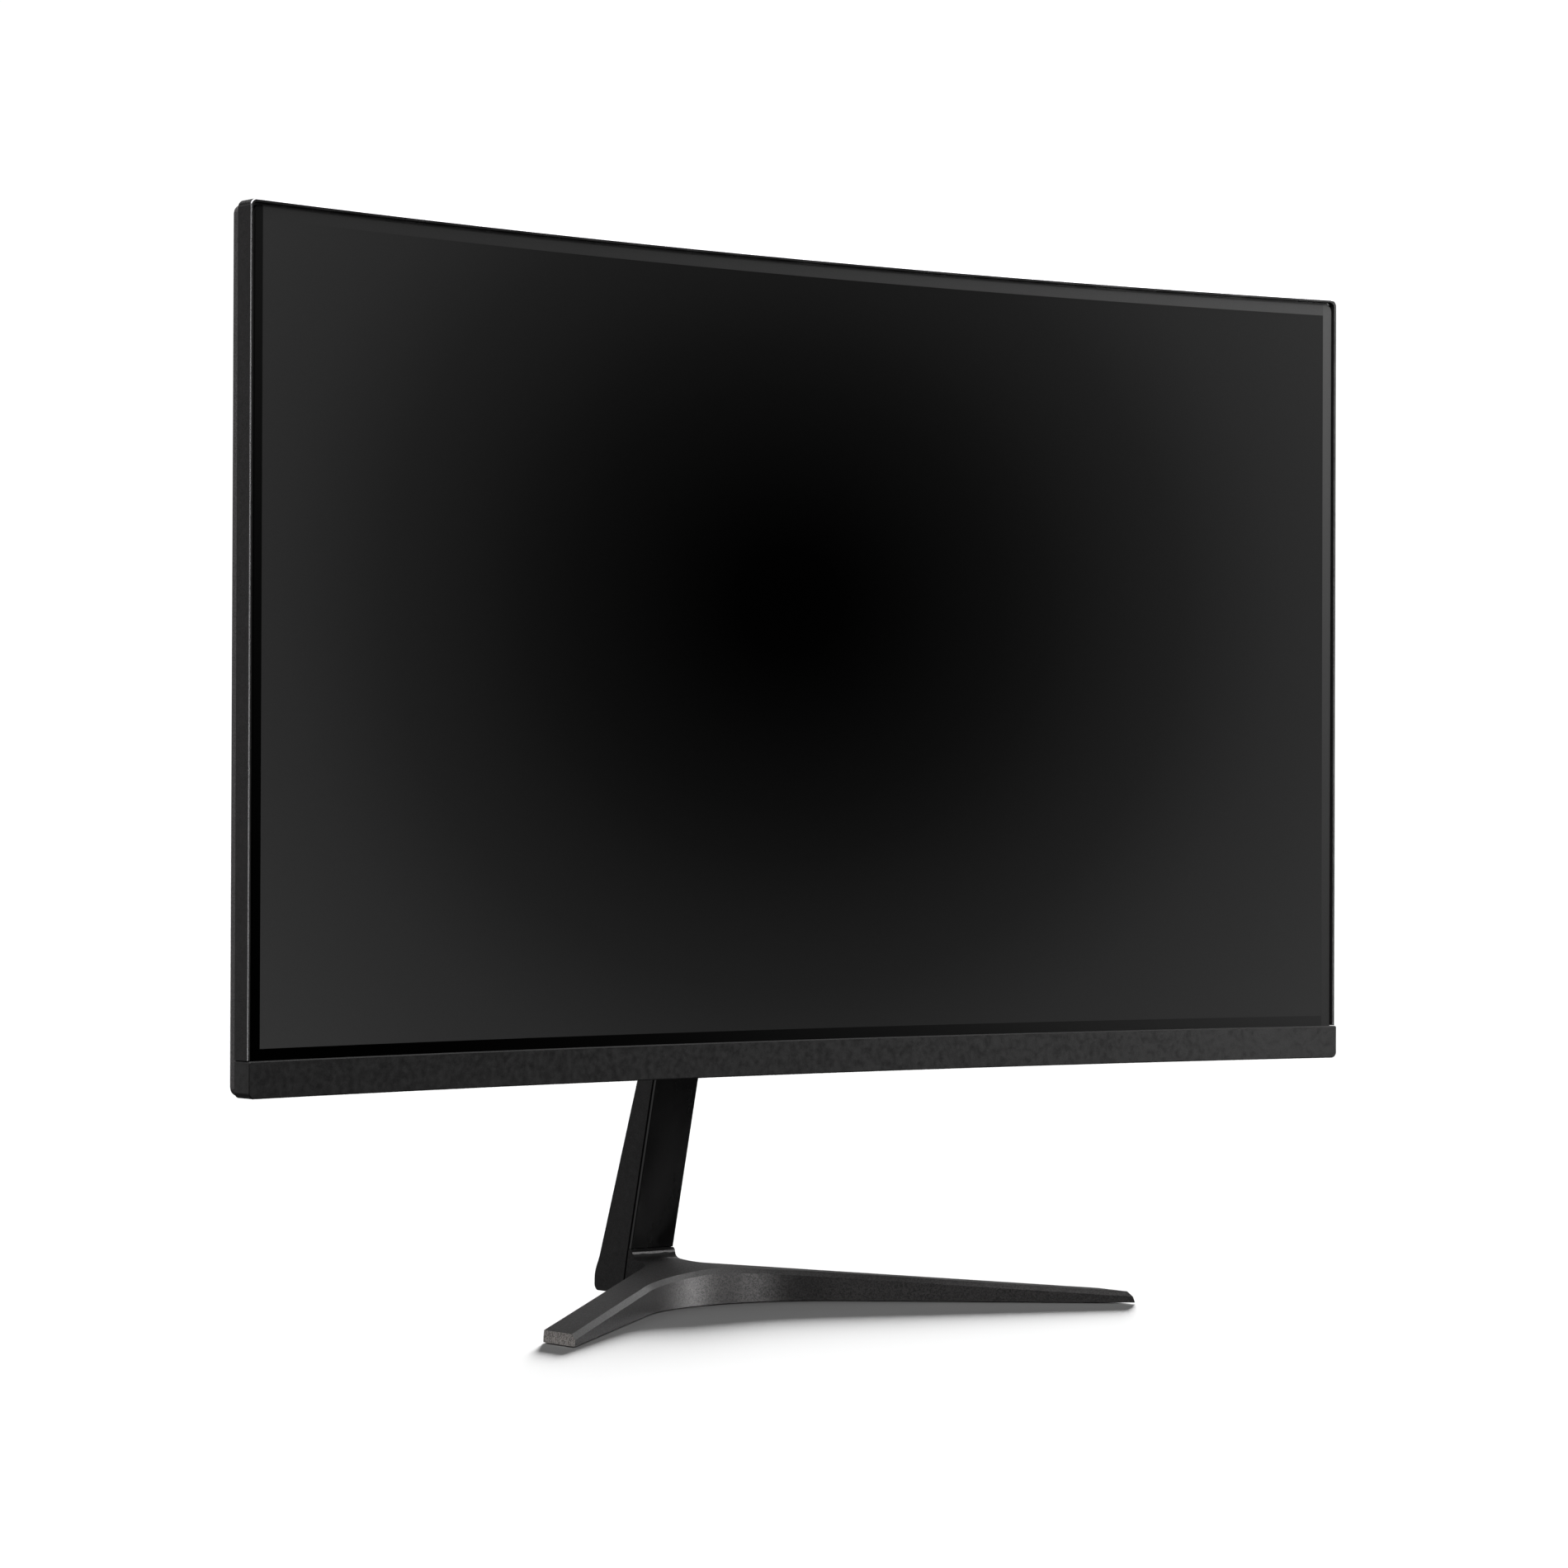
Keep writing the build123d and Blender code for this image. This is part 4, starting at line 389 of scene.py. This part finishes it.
LOOKS = {
    "screen_film": screen_film("screen_film"),
    "panel_glass": screen_film("panel_glass"),
    "frame_plastic": smooth_plastic("frame_plastic", 0.022, 0.26, 0.5),
    "chin_plastic": textured_plastic("chin_plastic", 0.014, 0.34, depth=0.009 * MM, specular=0.38),
    # The rear cover is drawn far paler than the other plastics: a painted highlight for the light that its
    # rounded edge catches from behind
    "cover_plastic": textured_plastic("cover_plastic", 0.125, 0.55, 0.5 * MM),
    "column_plastic": textured_plastic("column_plastic", 0.022, 0.48, 0.4 * MM, 0.014 * MM),
    "column_gloss": smooth_plastic("column_gloss", 0.013, 0.20, 0.3),
    "base_paint": grained_paint("base_paint", 0.024, PAINT_TINT),
    "foot_rubber": rubber("foot_rubber"),
    "key_plastic": textured_plastic("key_plastic", 0.024, 0.42, 0.3 * MM, 0.008 * MM),
    "lens_plastic": lens("lens_plastic"),
    "socket_plastic": textured_plastic("socket_plastic", 0.012, 0.40, 0.3 * MM, 0.008 * MM),
    "socket_steel": metal("socket_steel", 0.55, rough=0.28, brushed=(1.0, 1.0, 0.1)),
    "pin_brass": metal("pin_brass", 0.62, (1.0, 0.92, 0.72), 0.25, brushed=(1.0, 1.0, 0.1)),
    "bush_brass": metal("bush_brass", 0.58, (1.0, 0.80, 0.42), 0.30),
    "screw_black": metal("screw_black", 0.05, (1.0, 0.97, 0.95), 0.38),
    "screw_steel": metal("screw_steel", 0.58, (0.98, 1.0, 1.03), 0.30),
    "bracket_steel": metal("bracket_steel", 0.50, (0.99, 1.0, 1.02), 0.36, spangle=6 * MM),
    "hinge_steel": metal("hinge_steel", 0.42, rough=0.28, brushed=(0.1, 1.0, 1.0)),
    "spring_steel": metal("spring_steel", 0.28, (0.92, 0.96, 1.08), 0.30),
    "chassis_steel": metal("chassis_steel", 0.60, (0.99, 1.0, 1.02), 0.38, spangle=9 * MM),
    "heat_aluminium": metal("heat_aluminium", 0.72, rough=0.33, brushed=(0.08, 1.0, 1.0)),
    "film_white": film("film_white", (0.86, 0.86, 0.87, 1), (0.74, 0.74, 0.76, 1), 0.5, 4 * MM),
    "guide_acrylic": film("guide_acrylic", (0.80, 0.86, 0.86, 1), (0.62, 0.72, 0.72, 1), 0.12, 8 * MM),
    "film_amber": film("film_amber", (0.42, 0.17, 0.03, 1), (0.26, 0.09, 0.015, 1), 0.3, 1 * MM),
    "board_green": circuit_board("board_green"),
    "cable_white": film("cable_white", (0.80, 0.80, 0.78, 1), (0.50, 0.50, 0.50, 1), 0.4, 0.8 * MM),
}
SLOT_OF = {part["node"]: part["material_slot"] for part in frame["record"]["subparts"]}
BODY_OF = {node: body for body, nodes in frame["record"]["behaviour"]["bodies"].items() for node in nodes}

for node, piece in frame["nodes"].items():
    piece.data.materials.clear()
    piece.data.materials.append(LOOKS[SLOT_OF[node]])


# ---------------------------------------------------------------------------
# Finished skins: each copies the form of its CAD node and rounds its edges
# ---------------------------------------------------------------------------

WELD = 0.003 * MM
FLAT_ANGLE = radians(0.25)
ROUND_ANGLE = radians(32)
SHARP_SHADING_ANGLE = radians(40)
ROUND_SEGMENTS = 2

# The radius of each skin's rounded edges, in mm
SKINS = {
    "front_polariser": 0.0, "mid_frame": 0.12, "chin_strip": 0.12, "rear_cover": 0.12,
    "column_rear_shell": 0.30, "column_front_plate": 0.10, "stand_base": 0.25, "hinge_cover": 0.2,
    "base_feet": 0.2,
}


def round_edges(mesh, radius):
    """Joins the flat facets of a mesh and rounds its sharp edges to a radius."""
    form = bmesh.new()
    form.from_mesh(mesh)
    bmesh.ops.remove_doubles(form, verts=form.verts, dist=WELD)
    bmesh.ops.dissolve_limit(form, angle_limit=FLAT_ANGLE, verts=form.verts, edges=form.edges)
    sharp = [edge for edge in form.edges
             if len(edge.link_faces) == 2 and edge.calc_face_angle(0.0) > ROUND_ANGLE]
    if radius:
        bmesh.ops.bevel(form, geom=sharp, offset=radius, offset_type="OFFSET", segments=ROUND_SEGMENTS,
                        profile=0.5, affect="EDGES", clamp_overlap=True)
    for face in form.faces:
        face.smooth = True
    form.to_mesh(mesh)
    form.free()


def skin(node, radius):
    """A finer piece in place of a CAD node, with its edges rounded to a radius."""
    mesh = frame["nodes"][node].data.copy()
    mesh.name = node + "_skin"
    piece = bpy.data.objects.new(node + "_skin", mesh)
    bpy.context.scene.collection.objects.link(piece)
    round_edges(mesh, radius)
    if mesh.has_custom_normals:
        with bpy.context.temp_override(object=piece, active_object=piece, mesh=mesh):
            bpy.ops.mesh.customdata_custom_splitnormals_clear()
    mesh.set_sharp_from_angle(angle=SHARP_SHADING_ANGLE)
    weighted = piece.modifiers.new("even_shading", "WEIGHTED_NORMAL")
    weighted.keep_sharp = True
    mesh.materials.clear()
    mesh.materials.append(LOOKS[SLOT_OF[node]])
    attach(piece, BODY_OF[node])
    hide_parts(node)


for node, radius_mm in SKINS.items():
    skin(node, radius_mm * MM)


# ---------------------------------------------------------------------------
# Second finishes, on the faces of a skin that pass a test of their middle and normal
# ---------------------------------------------------------------------------

BASE_END_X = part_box("stand_base")[1].x - 2.0 * MM
RIM_REAR = -0.2 * MM
NECK_SWEEP_REAR = 54.5 * MM
LEGS_REAR = 20 * MM


def refinish(piece_name, look, chosen):
    """Gives a further finish to the faces that are chosen."""
    mesh = bpy.data.objects[piece_name].data
    mesh.materials.append(look)
    for face in mesh.polygons:
        if chosen(face.center, face.normal):
            face.material_index = len(mesh.materials) - 1


def is_side_wall(middle, normal):
    """The side walls of the head, square to X."""
    return abs(normal.x) > 0.98


def is_rim(middle, normal):
    """The outer bevel of the rim, along the top and the left, on the front of the head's arc."""
    from_centre = Vector((middle.x, middle.y - (SCREEN_Y - SCREEN_RADIUS), 0.0)).length
    bevelled = -0.97 < normal.y < -0.25
    outward = normal.z > 0.25 or (normal.x < -0.25 and middle.x < 0.0)
    return bevelled and outward and from_centre < SCREEN_RADIUS + RIM_REAR


def is_front_bevel(middle, normal):
    """The bevel along the top front edge of the legs."""
    return 0.45 < normal.z < 0.93 and normal.y < -0.25 and middle.y < LEGS_REAR


def is_neck_lip(middle, normal):
    """The bevelled lip of the neck, just in front of the column."""
    return 0.2 < normal.z < 0.95 and normal.y < -0.2 and middle.y > NECK_SWEEP_REAR


def is_left_end(middle, normal):
    """The cut end of the left leg."""
    return middle.x < -BASE_END_X and abs(normal.x) > 0.9


def is_right_end(middle, normal):
    """The cut end of the right leg."""
    return middle.x > BASE_END_X and abs(normal.x) > 0.9


refinish("mid_frame_skin", textured_plastic("frame_side", 0.040, 0.5, 0.3 * MM, 0.010 * MM, 0.2),
         is_side_wall)
# The rim bevel gets bright polished metal only along the top and the left, where it catches the light, while
# the rest of the frame stays dark plastic: a painted highlight
refinish("mid_frame_skin", metal("rim_highlight_metal", 0.85, (1.0, 0.99, 1.02), 0.16), is_rim)
# The front bevel of the legs: the same paint, with painted shade towards the left
refinish("stand_base_skin", grained_paint("bevel_paint_shaded_left", 0.024, PAINT_TINT, 0.62), is_front_bevel)
refinish("stand_base_skin", textured_plastic("lip_paint", 0.022, 0.6, 0.3 * MM, 0.008 * MM, 0.06, PAINT_TINT),
         is_neck_lip)
# Both cut ends are one bare cast finish; the left is drawn five times paler than the right, a painted
# highlight where the light falls on it
refinish("stand_base_skin", grained_paint("cast_end", 0.30, CAST_TINT), is_left_end)
refinish("stand_base_skin", grained_paint("cast_end_right", 0.06, CAST_TINT), is_right_end)


# ---------------------------------------------------------------------------
# Floor, lights and camera
# ---------------------------------------------------------------------------

FLOOR_HALF_SIZE = 40.0


def floor():
    """A plain pale floor that throws no light back."""
    mesh = bpy.data.meshes.new("floor")
    form = bmesh.new()
    bmesh.ops.create_grid(form, x_segments=8, y_segments=8, size=FLOOR_HALF_SIZE)
    form.to_mesh(mesh)
    form.free()
    piece = bpy.data.objects.new("floor", mesh)
    bpy.context.scene.collection.objects.link(piece)
    look = Look("floor_paint", Specular_IOR_Level=0.0)
    look.colour(look.mix(look.noise(0.4, 2.0), grey(0.93), grey(0.95)))
    look.roughness(0.9)
    mesh.materials.append(look.material)
    piece.visible_diffuse = False
    piece.visible_glossy = False
    return piece


def just(piece, name, state="INCLUDE"):
    """A collection of one piece, to link a light to it or to keep the light off it."""
    chosen = bpy.data.collections.new(name)
    chosen.objects.link(piece)
    chosen.collection_objects[0].light_linking.link_state = state
    return chosen


BOX_DISTANCE = 2.4
BOX_TARGET = Vector((0.0, 0.0, 0.2))

# Lights that show in glossy surfaces: the way to each from the target, its width and height
# in metres, its power in watts, and the one piece that it lights, or none for every piece
SOFTBOXES = {
    "front_right": ((0.25, -0.97, 0.08), (0.4, 1.2), 36.0, None),
    "back_right": ((0.70, 0.24, 0.66), (1.0, 0.7), 12.0, None),
    "back_left": ((-0.62, 0.75, 0.10), (1.2, 1.6), 2.2, None),
    "left_edge": ((-0.80, -0.58, 0.10), (0.3, 1.4), 0.8, None),
    "base_glow": ((0.853, -0.521, 0.04), (0.35, 0.9), 84.0, "stand_base_skin"),
    "base_front": ((-0.66, -0.75, 0.06), (0.8, 0.8), 7.5, "stand_base_skin"),
    "base_far": ((0.88, 0.47, 0.04), (0.6, 0.8), 9.0, "stand_base_skin"),
}


def softbox(name, direction, size, power, only):
    """A large even light that shows in glossy surfaces and gives no diffuse light."""
    data = bpy.data.lights.new(name, "AREA")
    data.shape = "RECTANGLE"
    data.size, data.size_y = size
    data.energy = power
    light = bpy.data.objects.new(name, data)
    towards = Vector(direction).normalized()
    light.location = BOX_TARGET + towards * BOX_DISTANCE
    light.rotation_mode = "QUATERNION"
    light.rotation_quaternion = towards.to_track_quat("Z", "Y")
    light.visible_diffuse = False
    bpy.context.scene.collection.objects.link(light)
    if only:
        light.light_linking.receiver_collection = just(bpy.data.objects[only], "lit_by_" + name)


def sun(name, width, strength, direction=(0.0, 0.0, 1.0)):
    """A far light of an angular width in degrees, from a direction."""
    data = bpy.data.lights.new(name, "SUN")
    data.angle = radians(width)
    data.energy = strength
    light = bpy.data.objects.new(name, data)
    light.rotation_mode = "QUATERNION"
    light.rotation_quaternion = Vector(direction).to_track_quat("Z", "Y")
    light.location = (0.0, 0.0, 1.0)
    bpy.context.scene.collection.objects.link(light)
    return light


def lights():
    """The softboxes, a wide light above the object, and two suns that only light the floor."""
    floor_piece = floor()
    for name, settings in SOFTBOXES.items():
        softbox(name, *settings)
    overhead = sun("overhead", 110, 3.4)
    overhead.light_linking.receiver_collection = just(floor_piece, "not_lit_by_overhead", "EXCLUDE")
    # low and from behind, so that the base casts a soft shadow towards the viewer
    low_sun = sun("floor_light", 9, 30.0, (0.665, 0.747, 0.105))
    lit = just(floor_piece, "lit_by_floor_light")
    low_sun.light_linking.receiver_collection = lit
    low_sun.light_linking.blocker_collection = just(bpy.data.objects["stand_base_skin"],
                                                    "stopping_floor_light")
    sun("floor_fill", 120, 0.30).light_linking.receiver_collection = lit


SEEN_SKY = 1.05
FILL_SKY = 0.07


def sky():
    """White to the camera, and a dim even fill for everything else."""
    world = bpy.data.worlds.new("studio")
    bpy.context.scene.world = world
    world.use_nodes = True
    tree = world.node_tree
    tree.nodes.clear()
    output = tree.nodes.new("ShaderNodeOutputWorld")
    seen = tree.nodes.new("ShaderNodeBackground")
    fill = tree.nodes.new("ShaderNodeBackground")
    seen.inputs["Strength"].default_value = SEEN_SKY
    fill.inputs["Strength"].default_value = FILL_SKY
    blend = tree.nodes.new("ShaderNodeMixShader")
    rays = tree.nodes.new("ShaderNodeLightPath")
    tree.links.new(rays.outputs["Is Camera Ray"], blend.inputs[0])
    tree.links.new(fill.outputs[0], blend.inputs[1])
    tree.links.new(seen.outputs[0], blend.inputs[2])
    tree.links.new(blend.outputs[0], output.inputs["Surface"])
    for background in (seen, fill):
        background.inputs["Color"].default_value = WHITE


# The camera stands at this azimuth and elevation from its target, moved a little left and down
CAMERA_AZIMUTH = radians(-37.83)
CAMERA_ELEVATION = radians(-0.37)
CAMERA_ROLL = radians(0.204)
CAMERA_TARGET = Vector((0.0, -38.8, 258.2)) * MM
CAMERA_DISTANCE = 1884.7 * MM
CAMERA_LEFT = 6.22 * MM
CAMERA_DOWN = 51.34 * MM
CAMERA_LENS_MM = 111.05
CAMERA_SENSOR_MM = 36.0


def camera():
    """A long lens, low and to the left, turned a little about its own axis."""
    flat = cos(CAMERA_ELEVATION)
    back = Vector((sin(CAMERA_AZIMUTH) * flat, -cos(CAMERA_AZIMUTH) * flat, sin(CAMERA_ELEVATION)))
    right = Vector((cos(CAMERA_AZIMUTH), sin(CAMERA_AZIMUTH), 0.0))
    up = back.cross(right)
    data = bpy.data.cameras.new("camera")
    data.sensor_width = CAMERA_SENSOR_MM
    data.lens = CAMERA_LENS_MM
    data.clip_start, data.clip_end = 0.05, 200.0
    made = bpy.data.objects.new("camera", data)
    made.location = CAMERA_TARGET + back * CAMERA_DISTANCE - right * CAMERA_LEFT - up * CAMERA_DOWN
    turned_right = right * cos(CAMERA_ROLL) + up * sin(CAMERA_ROLL)
    turned_up = up * cos(CAMERA_ROLL) - right * sin(CAMERA_ROLL)
    made.rotation_mode = "QUATERNION"
    made.rotation_quaternion = Matrix((turned_right, turned_up, back)).transposed().to_quaternion()
    bpy.context.scene.collection.objects.link(made)
    bpy.context.scene.camera = made


lights()
sky()
camera()
bpy.context.scene.view_settings.view_transform = "Standard"
bpy.context.scene.view_settings.look = "None"
